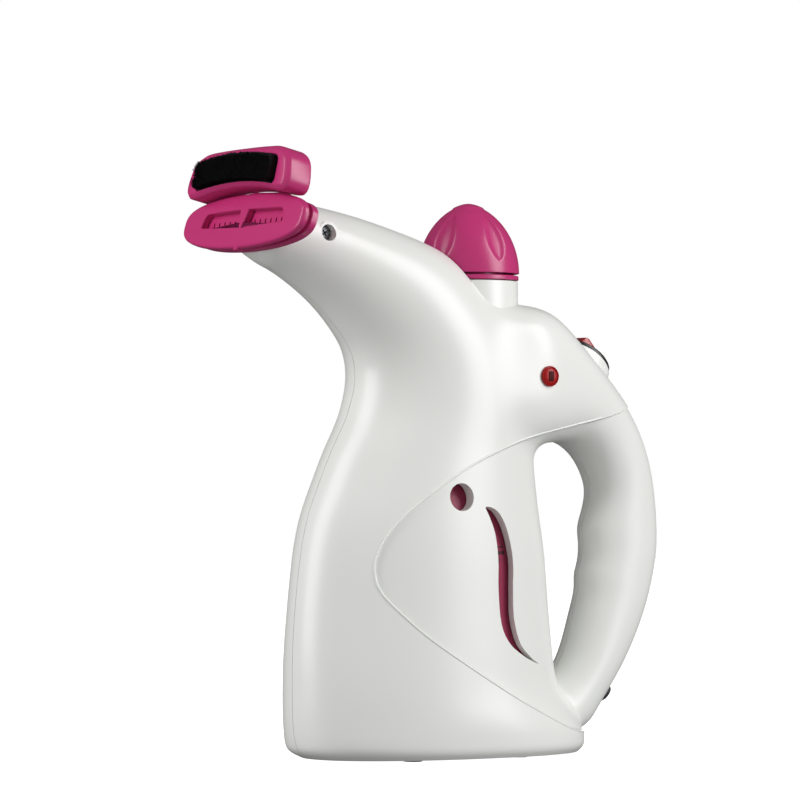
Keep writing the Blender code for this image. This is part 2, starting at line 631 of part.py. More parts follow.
def build_brush():
    depth = BRUSH_HALF[1]
    right = [Vector((-y, z)) for y, z in BLOCK]
    left = [Vector((y, z)) for y, z in BLOCK[-2:0:-1]]
    def outline_at(inset):
        return grown(right + left, -inset)
    block = loft("block", [head_ring(-depth, outline_at(2.4)), head_ring(-depth + 2.6, outline_at(0)),
                           head_ring(depth - 1, outline_at(0)), head_ring(depth, outline_at(1.2))])
    seat = loft("seat", [head_ring(x, band(37.8, -6.4, 7.6, 3.0)) for x in (-depth - 3, -depth + 3.2)])
    arc = [p for p in lens(2.2, 72) if p.y > 0 and abs(p.x) < 31]
    lip = face_prism("lip", [Vector((p.x, p.y + 0.3)) for p in arc]
                     + [Vector((-30, 13.4)), Vector((0, 15.0)), Vector((30, 13.4))], 3.9, 5.3)
    part("brush_body", posed(block, BRUSH, BRUSH_LEAN), PINK, ("DIFFERENCE", posed(seat, BRUSH, BRUSH_LEAN)),
         ("UNION", posed(lip, HEAD, HEAD_LEAN)))
    base = loft("base", [head_ring(x, band(37.4, -6.0, 7.2, 3.0)) for x in (-depth + 0.9, -depth + 2.9)])
    part("brush_base", posed(base, BRUSH, BRUSH_LEAN), BLACK)
    pad = loft("pad", [head_ring(x, band(37.0, -5.8, 7.0, 3.0)) for x in (-depth - 3.6, -depth + 0.6)])
    part("brush_bristles", posed(pad, BRUSH, BRUSH_LEAN), BRISTLE)


# ---------------------------------------------------------------- switch and lamp
def build_switch():
    def pose(piece):
        return posed(piece, SWITCH, SWITCH_SLOPE)
    bezel = pose(loft("bezel", [oval(0, 15.0, 10.8, -0.7), oval(0, 14.4, 10.2, 0.6)]))
    body = pose(box("body", (-11.1, -7.7, -16), (11.1, 7.7, 0)))
    well = pose(box("well", (-9.6, -6.3, -9), (9.6, 6.3, 4)))
    slits = [("DIFFERENCE", pose(box("slit", (x - 0.6, -2.8, -20), (x + 0.6, 2.8, -6)))) for x in (-6, 0, 6)]
    part("switch_housing", bezel, BLACK, ("UNION", body), ("DIFFERENCE", well), *slits)

    reach = 9.2
    ends = [math.radians(a) for a in (-24, -12, 0, 12, 19)]
    side = [(reach * math.cos(a), reach * math.sin(a)) for a in ends]
    section = side + [(7.0, 3.6), (0, 3.2), (-7.0, 3.6)] + [(-x, z) for x, z in reversed(side)]
    ring = [[(x, y, z) for x, z in section] for y in (-5.9, 5.9)]
    tilt = Matrix.Rotation(ROCKER_TILT, 4, "Y")
    rocker = loft("rocker", [[tilt @ Vector(p) for p in row] for row in ring])
    part("switch_rocker", posed(rocker, switch_local(0, -1.5), SWITCH_SLOPE), RED)
    for i, x in enumerate((-6, 0, 6), start=1):
        blade = pose(box("blade", (x - 0.3, -2.4, -22), (x + 0.3, 2.4, -7.6)))
        part(f"switch_terminal_{i}", blade, BRASS)


def build_lamp():
    spot = LAMP + Vector((0, -34.9, 0))
    profile = [(0, 1.6), (2.6, 1.5), (4.4, 0.7), (5.0, 0.2), (5.0, -0.2), (4.1, -0.2), (4.1, -9.5), (2.9, -9.5),
               (2.9, -3), (0, -2.6)]
    lens_form = turned("lens_form", profile, 20)
    nut = turned("nut_form", [(4.4, -5.6), (6.4, -5.6), (6.4, -8.4), (4.4, -8.4)], 12)
    bulb = turned("bulb_form", [(0, -3.4), (2.2, -4.4), (2.4, -14), (0, -14)], 12)
    for form, name, finish in ((lens_form, "indicator_lens", RED), (nut, "indicator_nut", BLACK),
                               (bulb, "indicator_lamp", SILICONE)):
        form.rotation_euler = (math.pi / 2, 0, 0)
        form.location = spot * MM
        part(name, form, finish)


# ---------------------------------------------------------------- mains inlet and wiring
def build_inlet():
    bush = turned("bush_form", [(3.2, 0.5), (4.6, 0.5), (4.9, 0.1), (4.9, -7), (3.2, -7)], 20)
    part("cord_gland", posed(bush, GLAND, GLAND_LEAN), RUBBER)


def build_wiring():
    """Three sheathed wires, each a smooth run between its two ends, clear of the pieces it passes."""
    def wire(name, finish, points):
        run = [Vector(p) for p in points]
        bends = []
        for i in range(len(run) - 1):
            a, b, c, d = run[max(i - 1, 0)], run[i], run[i + 1], run[min(i + 2, len(run) - 1)]
            for t in (0, 0.5):
                bends.append(0.5 * (2 * b + (c - a) * t + (2 * a - 5 * b + 4 * c - d) * t * t
                                    + (3 * b - a - 3 * c + d) * t ** 3))
        part(name, tube(name + "_run", bends + [run[-1]], 1.0), finish)
    wire("wire_live", LIVE, [(91.6, 1.4, 33.4), (97, 3.6, 42), (107, 5.5, 64), (110, 5.5, 97), (107, 5.5, 126),
                             (98, 5, 148), (89, 3.5, 160), (84.6, 2, 169.5)])
    wire("wire_switched", LIVE, [(74.5, -1.5, 174), (77, -5.5, 165), (92, -5.5, 150), (103, -5.5, 126),
                                 (105.5, -5.5, 97), (102.5, -5.5, 66), (93, -4.5, 46), (80, -4, 29),
                                 (73, -4, 21), (71, -5, 14), (64, -8, 9.4), (50, -13, 9.2), (38.5, -16, 10.4)])
    wire("wire_neutral", NEUTRAL, [(91, -1.4, 32.8), (82, 0, 28), (73, 3, 21), (71, 5, 14), (64, 9, 9.4), (50, 14, 9.2),
                                   (38.5, 16.5, 10.4)])


base_centre = bpy.data.objects.new("base_centre", None)
bpy.context.scene.collection.objects.link(base_centre)
base_centre.location.x = BASE_X * MM

build_shells()
build_base()
build_water()
build_heat()
build_cap()
build_head()
build_brush()
build_switch()
build_lamp()
build_inlet()
build_wiring()
for piece in PARTS.objects:
    piece.parent = base_centre
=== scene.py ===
# %% Load the frame
import json
import math
import random

import bmesh
import bpy
import numpy as np
from mathutils import Matrix, Vector
from mathutils.bvhtree import BVHTree


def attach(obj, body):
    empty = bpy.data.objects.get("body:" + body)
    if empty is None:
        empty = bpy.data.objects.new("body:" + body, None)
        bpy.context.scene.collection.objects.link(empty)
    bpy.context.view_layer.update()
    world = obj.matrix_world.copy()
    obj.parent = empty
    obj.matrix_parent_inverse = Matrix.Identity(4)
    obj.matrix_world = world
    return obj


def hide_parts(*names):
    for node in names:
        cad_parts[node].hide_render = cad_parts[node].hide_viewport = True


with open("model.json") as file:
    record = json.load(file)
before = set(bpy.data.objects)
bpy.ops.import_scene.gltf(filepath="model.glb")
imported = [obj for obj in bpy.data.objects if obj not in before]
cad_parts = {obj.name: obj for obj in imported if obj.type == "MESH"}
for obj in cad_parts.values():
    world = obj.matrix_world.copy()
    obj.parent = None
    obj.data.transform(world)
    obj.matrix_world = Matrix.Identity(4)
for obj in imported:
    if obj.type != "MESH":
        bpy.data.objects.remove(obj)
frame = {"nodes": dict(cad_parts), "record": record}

for name in ("Cube", "Light", "Camera"):
    if name in bpy.data.objects:
        bpy.data.objects.remove(bpy.data.objects[name])
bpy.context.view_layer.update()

# %% [markdown]
# # A hand-held garment steamer
# The steamer is a white moulded body with a swan's neck, a pink steam head with a bristle
# brush on it, and a domed cap on the filler. The solids that the frame brings are right in
# place and size but coarse, so each visible piece is modelled again here, finely, and rides on
# the same body as the solid that it stands for.
#
# Lengths are written in millimetres from the middle of the steamer's oval base. The frame's
# origin is under the middle of the whole steamer, so every point is shifted along X once.

# %% Units and selection
MM = 0.001
BASE_X = -6.2  # the middle of the base in the frame, mm
LEFT, RIGHT = -1, 1  # the sides, along Y


def only(*things):
    """Select these objects and nothing else; the first is the active one."""
    bpy.ops.object.select_all(action="DESELECT")
    for thing in things:
        thing.select_set(True)
    bpy.context.view_layer.objects.active = things[0]
    return things[0]


def place(point):
    """A point in millimetres from the base's middle, in the frame's metres."""
    x, y, z = point
    return Vector(((x + BASE_X) * MM, y * MM, z * MM))


# %% [markdown]
# ## Finishes
# Nearly all of the steamer is ABS, a hard, slightly milky plastic. It comes from a polished
# mould, so light sits on it in soft, wide highlights. The tank is a clear tinted plastic, the
# brush is nylon, and the seals are rubber. A fine grain from the mould breaks the highlights
# up a little; it is far too fine to see as shape, so it is a bump and not geometry.

# %% Colour and node helpers
def linear(code):
    """A hex sRGB colour as the linear RGBA that a shader takes."""
    channels = [int(code[i : i + 2], 16) / 255 for i in (1, 3, 5)]
    return [c / 12.92 if c <= 0.04045 else ((c + 0.055) / 1.055) ** 2.4 for c in channels] + [1]


def add(tree, kind, links=(), **settings):
    """One node: settings name its properties or its sockets, links are (socket, source)."""
    made = tree.nodes.new(kind)
    for name, value in settings.items():
        if hasattr(made, name):
            setattr(made, name, value)
        else:
            made.inputs[name.replace("_", " ").capitalize()].default_value = value
    for socket, source in links:
        tree.links.new(source, made.inputs[socket])
    return made


def finish_of(name, colour, roughness, grain=0.0, grain_mm=0.4, **shader):
    """A Principled finish. grain is the height of the mould's grain, as a bump strength."""
    made = bpy.data.materials.new(name)
    made.use_nodes = True
    tree = made.node_tree
    body = tree.nodes["Principled BSDF"]
    body.inputs["Base Color"].default_value = linear(colour)
    body.inputs["Roughness"].default_value = roughness
    for key, value in shader.items():
        body.inputs[key.replace("_", " ")].default_value = value
    if grain:
        where = add(tree, "ShaderNodeTexCoord")
        noise = add(tree, "ShaderNodeTexNoise", [("Vector", where.outputs["Object"])], Scale=1 / (grain_mm * MM),
                    Detail=2.0)
        bump = add(tree, "ShaderNodeBump", [("Height", noise.outputs["Fac"])], Strength=grain, Distance=0.0001)
        tree.links.new(bump.outputs["Normal"], body.inputs["Normal"])
    return made


# %% The steamer's finishes
# Moulded ABS: refraction 1.54, a soft gloss, the colour of skimmed milk.
WHITE_ABS = finish_of("moulded_white_abs", "#f0f1ed", 0.3, grain=0.06, IOR=1.54)
# The handle's half-shells come from a slightly duller mould.
PANEL_ABS = finish_of("satin_white_abs", "#eeefeb", 0.34, grain=0.06, IOR=1.54)
# The same plastic coloured through with a pink pigment, polished a little more.
PINK_ABS = finish_of("glossy_pink_abs", "#c42f74", 0.3, grain=0.04, IOR=1.54)
# Tinted see-through tank wall: dark, since little light gets behind it.
TANK = finish_of("tinted_tank_plastic", "#8c2a48", 0.35, IOR=1.45, Specular_IOR_Level=0.3)
# Black moulded nylon round the switch.
BLACK = finish_of("black_moulded_nylon", "#101013", 0.35, grain=0.1, IOR=1.53)
# Drawn nylon filament: dark, with a small gleam along each hair.
FILAMENT = finish_of("black_nylon_filament", "#050508", 0.6, IOR=1.53, Specular_IOR_Level=0.25)
# Clear red polycarbonate: glossy, lit from inside by what passes through it.
RED_LENS = finish_of("clear_red_polycarbonate", "#a81218", 0.22, IOR=1.58)
LAMP_RIM = finish_of("red_lamp_glass", "#a81a1b", 0.3, IOR=1.45, Specular_IOR_Level=0.3)
LAMP_DARK = finish_of("dark_lamp_window", "#4a0c0f", 0.5, IOR=1.45, Specular_IOR_Level=0.15)
MARK = finish_of("level_mark_ink", "#1c0a12", 0.6)
RUBBER = finish_of("black_rubber", "#26262a", 0.7, grain=0.3, IOR=1.52)
SILICONE = finish_of("milky_silicone", "#dcd8cf", 0.5, IOR=1.41)
STEEL = finish_of("zinc_plated_steel", "#b9bcc0", 0.3, Metallic=1.0)
# The same plating, darker and rougher, with a coarse grain.
DULL_STEEL = finish_of("dull_zinc_steel", "#74777a", 0.45, grain=0.3, Metallic=1.0)
ALUMINIUM = finish_of("cast_aluminium", "#c9cbce", 0.45, grain=0.4, grain_mm=0.8, Metallic=1.0)
BRASS = finish_of("stamped_brass", "#c8a252", 0.35, Metallic=1.0)
BROWN_PVC = finish_of("brown_pvc_sheath", "#6b3f22", 0.5)
BLUE_PVC = finish_of("blue_pvc_sheath", "#2a5aa8", 0.5)
print("finishes:", len([m for m in bpy.data.materials if m.use_nodes]))

# %% [markdown]
# ## The solids that stay
# Pieces that are seen only when the steamer comes apart, or hardly at all, keep their solids
# and take a better finish. The rest are replaced as the lesson goes on.

# %% Dress the solids
DRESS = {
    "white_abs": WHITE_ABS, "pink_abs": PINK_ABS, "tank_plastic": TANK, "black_plastic": BLACK,
    "bristle_nylon": FILAMENT, "red_lens": RED_LENS, "rubber": RUBBER, "silicone": SILICONE,
    "steel": STEEL, "aluminium": ALUMINIUM, "brass": BRASS, "brown_sheath": BROWN_PVC,
    "blue_sheath": BLUE_PVC,
}
SLOT_OF = {row["node"]: row["material_slot"] for row in frame["record"]["subparts"]}
BODY_OF = {node: body for body, nodes in frame["record"]["behaviour"]["bodies"].items() for node in nodes}
for node, solid in frame["nodes"].items():
    solid.data.materials.clear()
    solid.data.materials.append(DRESS[SLOT_OF[node]])
print("solids dressed:", len(frame["nodes"]))

# %% [markdown]
# ## The way every turned or lofted piece is made
# A turned cap, a tapering block and the swan's body are all the same idea: an outline that
# changes as it travels. By hand, one adds a circle, extrudes it, puts the new ring where it
# belongs, and goes on. Each point of the circle carries its number, which extruding copies,
# so a new ring knows where each of its points goes.

# %% Skin a row of rings
def skinned(name, rings, closed=False):
    """A circle extruded through rings of equal counts: capped, or closed last ring to first."""
    count = len(rings[0])
    bpy.ops.object.select_all(action="DESELECT")
    bpy.ops.mesh.primitive_circle_add(vertices=count, radius=0.01, fill_type="NOTHING" if closed else "NGON")
    made = bpy.context.object
    made.name = made.data.name = name
    bpy.ops.object.mode_set(mode="EDIT")
    form = bmesh.from_edit_mesh(made.data)
    number = form.verts.layers.int.new("number")
    form.verts.ensure_lookup_table()
    for i, vert in enumerate(form.verts):
        vert[number] = i
        vert.co = place(rings[0][i])
    bmesh.update_edit_mesh(made.data)
    for ring in rings[1:]:
        if closed:
            bpy.ops.mesh.extrude_edges_move()
        else:
            bpy.ops.mesh.extrude_region_move()
        form = bmesh.from_edit_mesh(made.data)
        number = form.verts.layers.int["number"]
        for vert in form.verts:
            if vert.select:
                vert.co = place(ring[vert[number]])
    if closed:
        bpy.ops.mesh.select_all(action="DESELECT")
        bpy.ops.mesh.select_non_manifold()
        bpy.ops.mesh.bridge_edge_loops()
    bpy.ops.mesh.select_all(action="SELECT")
    bpy.ops.mesh.normals_make_consistent(inside=False)
    bpy.ops.object.mode_set(mode="OBJECT")
    return made


def applied(piece, kind, **settings):
    """Add one modifier to the piece, set it and apply it."""
    only(piece)
    step = piece.modifiers.new(kind.lower(), kind)
    for key, value in settings.items():
        setattr(step, key, value)
    bpy.ops.object.modifier_apply(modifier=step.name)
    return piece


def cut(piece, *tools, how="DIFFERENCE", keep=False):
    """Cut the piece by each tool, or join it with how="UNION"; the tools are then removed."""
    for tool in tools:
        applied(piece, "BOOLEAN", object=tool, operation=how, solver="MANIFOLD")
        if not keep:
            bpy.data.objects.remove(tool)
    return piece


def shown(piece, finish, body, *stands_for, slot=None, angle=32):
    """Finish a piece: its material, smooth faces with sharp corners kept, and its body. The slot argument is not used.
    """
    only(piece)
    if finish is not None:
        piece.data.materials.clear()
        piece.data.materials.append(finish)
    bpy.ops.object.shade_smooth_by_angle(angle=math.radians(angle))
    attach(piece, body)
    if stands_for:
        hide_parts(*stands_for)
    print(f"{piece.name}: {len(piece.data.polygons)} faces")
    return piece


def turned_rings(profile, centre=(0, 0), steps=96):
    """Level rings for a profile of (radius, height) about a vertical axis."""
    turns = [math.tau * i / steps for i in range(steps)]
    return [[(centre[0] + r * math.cos(t), centre[1] + r * math.sin(t), z) for t in turns] for r, z in profile]


def framed(rings, spot, lean):
    """Rings written in a leaning frame (x inwards, z up the lean), moved to its spot."""
    turn = Matrix.Rotation(lean, 3, "Y")
    return [[spot + turn @ Vector(p) for p in ring] for ring in rings]


def facing_left(rings, spot):
    """Rings of a piece turned about local Z, laid so that local Z points out of the left flank."""
    turn = Matrix.Rotation(math.pi / 2, 3, "X")
    return [[spot + turn @ Vector(p) for p in ring] for ring in rings]


# %% [markdown]
# ## The body's ribs
# The body is two smooth tubes that grow into each other: the cup with its swan's neck, and
# the rear cover with the handle. Each is known by ribs, squared ovals seen from the side as a
# line from a front point to a back point. A smooth curve through the ribs gives as many more
# as the surface needs. Only the left half is modelled, as a shape that is flat in the middle
# plane; the right half is its mirror image, as it is in the two real mould halves.

# %% The ribs, mm
GAP = 0.3
WALL = 2.5
RECESS = 0.8  # the handle's panel lies this far below the casing
SWAN = [
    ((-70.0, 1.0), (76.4, 1.0), 41.5, 2.2),
    ((-75.5, 3.6), (79.0, 3.6), 44.0, 2.2),
    ((-78.6, 8), (79.8, 8), 45.0, 2.2),
    ((-79.8, 14), (79.0, 14), 45.2, 2.15),
    ((-80.6, 30), (67.5, 30), 44.2, 2.1),
    ((-80.6, 48), (63.0, 48), 43.2, 2.05),
    ((-79.2, 71), (61.0, 71), 42.0, 2),
    ((-76.6, 94), (59.0, 94), 41.0, 2),
    ((-71.5, 117), (55.5, 117), 39.5, 2),
    ((-65.4, 132), (53.5, 132), 38.2, 2),
    ((-58.6, 147), (52.5, 150), 37.0, 2),
    ((-52.2, 159), (53.5, 169), 36.5, 2),
    ((-47.6, 171), (49.0, 190), 36.0, 2),
    ((-45.8, 182), (38.5, 208), 35.0, 2),
    ((-48.0, 193), (24.5, 222.5), 33.4, 2),
    ((-54.8, 203), (9.0, 236.4), 31.2, 2),
    ((-63.4, 212), (-8.0, 245.4), 28.6, 2),
    ((-73.2, 220), (-27.0, 251.6), 26.0, 2),
    ((-84.0, 227), (-47.0, 257), 23.3, 2),
    ((-92.0, 231.3), (-68.0, 261.2), 21.8, 2),
    ((-98.6, 234.9), (-88.0, 263.6), 22.0, 2),
    ((-103.2, 238.6), (-95.7, 263.3), 24.0, 2),
]
HANDLE = [
    ((8.0, 216), (8.0, 160), 22.0, 2.4),
    ((24.0, 217.6), (23.0, 153), 30.4, 3.0),
    ((41.0, 216.6), (39.0, 150.5), 33.6, 3.4),
    ((56.5, 213.4), (54.5, 150.0), 31.2, 3.0),
    ((70.6, 203.8), (68.0, 151.0), 27.8, 2.6),
    ((86.5, 190.2), (77.0, 149.5), 23.8, 2.4),
    ((101.0, 177.2), (85.0, 143.0), 19.8, 2.2),
    ((113.0, 163.5), (89.8, 134.0), 17.2, 2.1),
    ((122.6, 145.0), (91.0, 125.5), 15.8, 2),
    ((128.0, 121.0), (88.2, 114.0), 15.2, 2),
    ((128.6, 97.0), (86.4, 97.0), 15.0, 2),
    ((124.3, 77.0), (84.8, 82.5), 15.0, 2),
    ((115.2, 55.0), (80.4, 66.0), 15.2, 2),
    ((103.8, 36.5), (73.5, 46.0), 15.6, 2),
    ((93.0, 21.5), (62.0, 33.0), 16.0, 2),
    ((83.5, 11.5), (50.0, 26.0), 16.4, 2),
    ((68.0, 8.0), (42.0, 22.0), 15.0, 2),
]


def spline(values, steps):
    """A natural cubic through rows of numbers, steps pieces to a span, by the length of its middle line."""
    values = np.array(values, float)
    middle = (values[:, 0:2] + values[:, 2:4]) / 2
    knots = np.concatenate([[0], np.cumsum(np.linalg.norm(np.diff(middle, axis=0), axis=1) + 1e-6)])
    count = len(knots)
    gaps = np.diff(knots)
    system, right = np.eye(count), np.zeros_like(values)
    for i in range(1, count - 1):
        system[i, i - 1 : i + 2] = gaps[i - 1], 2 * (gaps[i - 1] + gaps[i]), gaps[i]
        right[i] = 6 * ((values[i + 1] - values[i]) / gaps[i] - (values[i] - values[i - 1]) / gaps[i - 1])
    bend = np.linalg.solve(system, right)
    rows = []
    for i in range(count - 1):
        for k in range(steps + (i == count - 2)):
            b = k / steps
            a = 1 - b
            rows.append(a * values[i] + b * values[i + 1]
                        + ((a ** 3 - a) * bend[i] + (b ** 3 - b) * bend[i + 1]) * gaps[i] ** 2 / 6)
    return rows


def half_rib(row, inset, sides):
    """The left half of a squared oval, from its back round the flank to its front."""
    front, back = Vector((row[0], 0, row[1])), Vector((row[2], 0, row[3]))
    middle, along = (front + back) / 2, (back - front).normalized()
    reach, width, power = (back - front).length / 2 - inset, row[4] - inset, row[5]
    ring = []
    for i in range(sides + 1):
        turn = math.pi * i / sides
        c = math.cos(turn)
        u = math.copysign(abs(c) ** (2 / power), c) * reach
        v = abs(math.sin(turn)) ** (2 / power) * width
        ring.append(middle + along * u - Vector((0, max(v, GAP / 2), 0)))
    return ring


def rows_of(table, steps):
    return spline([[*front, *back, width, power] for front, back, width, power in table], steps)


swan_rows, handle_rows = rows_of(SWAN, 5), rows_of(HANDLE, 7)
print("ribs:", len(swan_rows), "in the swan and", len(handle_rows), "in the handle")

# %% [markdown]
# ## Finger grips
# The handle's inner side waves gently, one hollow to a finger. The inner point of each rib
# moves in and out as the ribs run down the grip, and the oval follows it.

# %% Waves inside the grip
CRESTS = [(109.0, 1.5, 9.0), (86.5, 1.6, 8.0)]  # each crest's height, how proud it stands, half its length
for row in handle_rows:
    for height, proud, half in CRESTS:
        if row[2] > 76:
            row[2] -= proud * math.exp(-2 * ((row[3] - height) / half) ** 2)


# %% [markdown]
# ## Two tubes grow into one
# Where the neck meets the cover, the real body has a soft, wide crease and not a sharp
# corner. The two tubes are joined first, which leaves a sharp corner. Then each point near
# the corner moves out to where a rolling blend would put it: the distances to both tubes are
# mixed, and the skin is drawn onto the surface where the mix is nought. The blend is wide
# above, where the cover grows out of the cup, and tight below, where the handle's foot lands.

# %% Join and blend
def skin_tree(piece):
    """The skin of a half, without its flat middle face, to measure distances from."""
    points = [v.co.copy() for v in piece.data.vertices]
    middle = -GAP / 2 * MM - 1e-6
    faces = [tuple(f.vertices) for f in piece.data.polygons if any(points[v].y < middle for v in f.vertices)]
    return BVHTree.FromPolygons(points, faces)


def reach_to(tree, point):
    """Signed distance to a skin, positive outside, and the way that it grows."""
    near, normal, _, gap = tree.find_nearest(point)
    away = point - near
    outside = away.dot(normal) >= 0
    if gap > 5e-5:
        normal = away / gap if outside else -away / gap
    return (gap if outside else -gap), normal


def blend_width(height):
    """How wide the blend is at a height, in metres."""
    t = min(max((height / MM - 118) / 30, 0), 1)
    return (2.4 + 8.0 * t * t * (3 - 2 * t)) * MM


def mixed(point, tree_a, tree_b):
    """The mix of the two distances at a point, the way it grows, and whether the blend is at work."""
    (a, way_a), (b, way_b) = reach_to(tree_a, point), reach_to(tree_b, point)
    width = blend_width(point.z)
    share = min(max(0.5 + 0.5 * (b - a) / width, 0), 1)
    value = b + (a - b) * share - width * share * (1 - share)
    return value, (way_a * share + way_b * (1 - share)), 0 < share < 1


def body_half(name, swan_inset, handle_inset, ribs, sides=72):
    """The left half of the whole body as one solid, with so many of the handle's ribs."""
    swan = skinned(name, [half_rib(r, swan_inset, sides) for r in swan_rows])
    handle = skinned(name + "_handle", [half_rib(r, handle_inset, sides) for r in handle_rows[:ribs]])
    trees = skin_tree(swan), skin_tree(handle)
    cut(swan, handle, how="UNION")
    form = bmesh.new()
    form.from_mesh(swan.data)
    middle = -GAP / 2 * MM - 1e-6
    zone = [v for v in form.verts if v.co.y < middle and mixed(v.co, *trees)[2]]
    bmesh.ops.remove_doubles(form, verts=zone, dist=0.25 * MM)
    for _ in range(4):
        zone = [v for v in form.verts if v.co.y < middle and mixed(v.co, *trees)[2]]
        bmesh.ops.smooth_vert(form, verts=zone, factor=0.5, use_axis_x=True, use_axis_y=True, use_axis_z=True)
        skin = [v for v in form.verts if any(w.co.y < middle for f in v.link_faces for w in f.verts)]
        for vert in skin:
            for _ in range(2):
                value, way, busy = mixed(vert.co, *trees)
                if not busy or way.length < 0.3:
                    break
                step = way * (-value / way.length_squared)
                if vert.co.y >= middle:
                    step.y = 0
                vert.co += step * min(1, MM / max(step.length, 1e-9))
    form.to_mesh(swan.data)
    form.free()
    return swan


def room_half(name, swan_inset, handle_inset, ribs, sides=28):
    """The hollow inside a half, which runs on through the middle plane and out at the neck's end."""
    swan = [half_rib(r, swan_inset, sides) for r in swan_rows[::3] + swan_rows[-1:]]
    swan.insert(0, [p - Vector((0, 0, 6)) for p in swan[0]])
    swan.append([p + Vector((-8, 0, 2.4)) for p in swan[-1]])
    handle = [half_rib(r, handle_inset, sides) for r in handle_rows[:ribs:3]]
    for ring in swan + handle:
        ring[0].y = ring[-1].y = 2.0
    return cut(skinned(name, swan), skinned(name + "_handle", handle), how="UNION")


COVER_RIBS, ALL_RIBS = 74, len(handle_rows)  # the casing's share of the handle ends inside the seam
casing = body_half("casing_left_shell", 0, -RECESS, COVER_RIBS)
panel = body_half("handle_left_shell", RECESS, 0, ALL_RIBS)
print("casing half:", len(casing.data.polygons), "faces; panel half:", len(panel.data.polygons))

# %% [markdown]
# ## The seam, the windows and the openings
# The handle's half-shells are let into the casing behind an arrow-shaped seam, 0.8 mm below
# its face, so the casing's edge catches the light as a thin bright line. The seam, the two
# windows, the filler's hole and the switch's pod are all outlines seen straight from the side
# or from above, so each is a prism that cuts the half it passes through.

# %% Outlines on the flank, mm (x, z)
SEAM_UPPER = [(150, 184), (113, 170.5), (88, 163.5), (61, 157.8), (38, 153), (15, 146.5),
              (-3.6, 139), (-20.6, 129.1), (-37, 117.4), (-47.5, 106.2), (-52.6, 96)]
SEAM_LOWER = [(-53.6, 88.6), (-51.5, 80.6), (-44.5, 72.1), (-31.5, 60.2), (-15, 49),
              (7.8, 35.7), (30.9, 24.1), (58, 13.4), (84, 9.8), (150, 2)]
WINDOW = [(3.6, 119.8), (11.0, 117.7), (16.8, 109.1), (20.2, 94.8), (19.8, 80.6), (19.9, 66.3),
          (23.9, 54.4), (31.8, 47.6), (37.2, 44.6), (27.0, 48.2), (16.8, 54.5), (11.3, 64.1),
          (9.9, 80.7), (10.3, 94.9), (8.9, 106.8), (5.9, 114.6)]
SIGHT = (-10.0, 124.4, 6.6)  # the round window: x, z, radius
WELL_FLOOR = 31.0  # the windows' walls reach in this far from the middle plane


def smooth(points, steps=3, closed=False):
    """A Catmull-Rom curve through the points, steps pieces to a span."""
    count = len(points)

    def at(i):
        return Vector(points[i % count] if closed else points[min(max(i, 0), count - 1)])

    curve = []
    for i in range(count if closed else count - 1):
        a, b, c, d = at(i - 1), at(i), at(i + 1), at(i + 2)
        for k in range(steps):
            t = k / steps
            curve.append(0.5 * (2 * b + (c - a) * t + (2 * a - 5 * b + 4 * c - d) * t * t
                                + (3 * b - a - 3 * c + d) * t ** 3))
    if not closed:
        curve.append(at(count - 1))
    return curve


def grown(outline, distance):
    """The closed outline moved outwards by distance, corner by corner."""
    count = len(outline)
    area = sum(outline[i - 1].x * outline[i].y - outline[i].x * outline[i - 1].y for i in range(count))
    side = 1 if area > 0 else -1
    result = []
    for i in range(count):
        before = (outline[i] - outline[i - 1]).normalized()
        after = (outline[(i + 1) % count] - outline[i]).normalized()
        normal = Vector((before.y + after.y, -before.x - after.x)).normalized() * side
        stretch = max(0.5, normal.dot(Vector((before.y, -before.x)) * side))
        result.append(outline[i] + normal * (distance / stretch))
    return result


def flank_prism(name, outline, low, high):
    """A flank outline carried from y = low to y = high."""
    return skinned(name, [[(p.x, y, p.y) for p in outline] for y in (low, high)])


def rod(name, start, end, radius, sides=48):
    """A plain cylinder between two points."""
    start, end = place(start), place(end)
    way = end - start
    bpy.ops.object.select_all(action="DESELECT")
    bpy.ops.mesh.primitive_cylinder_add(vertices=sides, radius=radius * MM, depth=way.length,
                                        location=(start + end) / 2, rotation=way.to_track_quat("Z", "Y").to_euler())
    made = bpy.context.object
    made.name = name
    bpy.ops.object.transform_apply(location=True, rotation=True, scale=True)
    return made


def block(name, lean_spot, lean, low, high):
    """A box between two corners of a leaning frame."""
    x0, y0, z0 = low
    x1, y1, z1 = high
    rings = [[(x0, y0, z), (x1, y0, z), (x1, y1, z), (x0, y1, z)] for z in (z0, z1)]
    return skinned(name, framed(rings, lean_spot, lean))


seam = smooth(SEAM_UPPER[1:] + SEAM_LOWER[:-1], 4) + [Vector(SEAM_LOWER[-1]), Vector(SEAM_UPPER[0])]
window = smooth(WINDOW, 4, closed=True)
sight = [Vector((SIGHT[0] + SIGHT[2] * math.cos(math.tau * i / 56), SIGHT[1] + SIGHT[2] * math.sin(math.tau * i / 56)))
         for i in range(56)]
print("seam points:", len(seam), "window points:", len(window))

# %% [markdown]
# ## The switch's pod
# The switch sits on an oval pod that rises from the cover's slope. Its rim is arched, low at
# both ends, and the black bezel follows it.

# %% The pod and what cuts the casing
SWITCH = Vector((88.7, 0, 194.6))
SWITCH_SLOPE = math.radians(34.5)
ARCH = 2.2  # the bezel's ends lie this far below its middle, mm
CAP_X = 19.0
NECK_RADIUS, NECK_BORE, NECK_TOP = 24.0, 20.8, 228.3
CAP_RADIUS, CAP_TOP = 24.6, 266.0
LAMP = Vector((42.7, 0, 182.2))
NECK_SCREW = Vector((-73.9, 0, 248.1))


def arched_oval(half_x, half_y, z, sides=96, sag=ARCH):
    """An oval of the switch's frame whose ends droop by sag."""
    turns = [math.tau * i / sides for i in range(sides)]
    return [(half_x * math.cos(t), half_y * math.sin(t), z - sag * (math.cos(t) * half_x / 15.0) ** 2) for t in turns]


def on_slope(rings):
    return framed(rings, SWITCH, SWITCH_SLOPE)


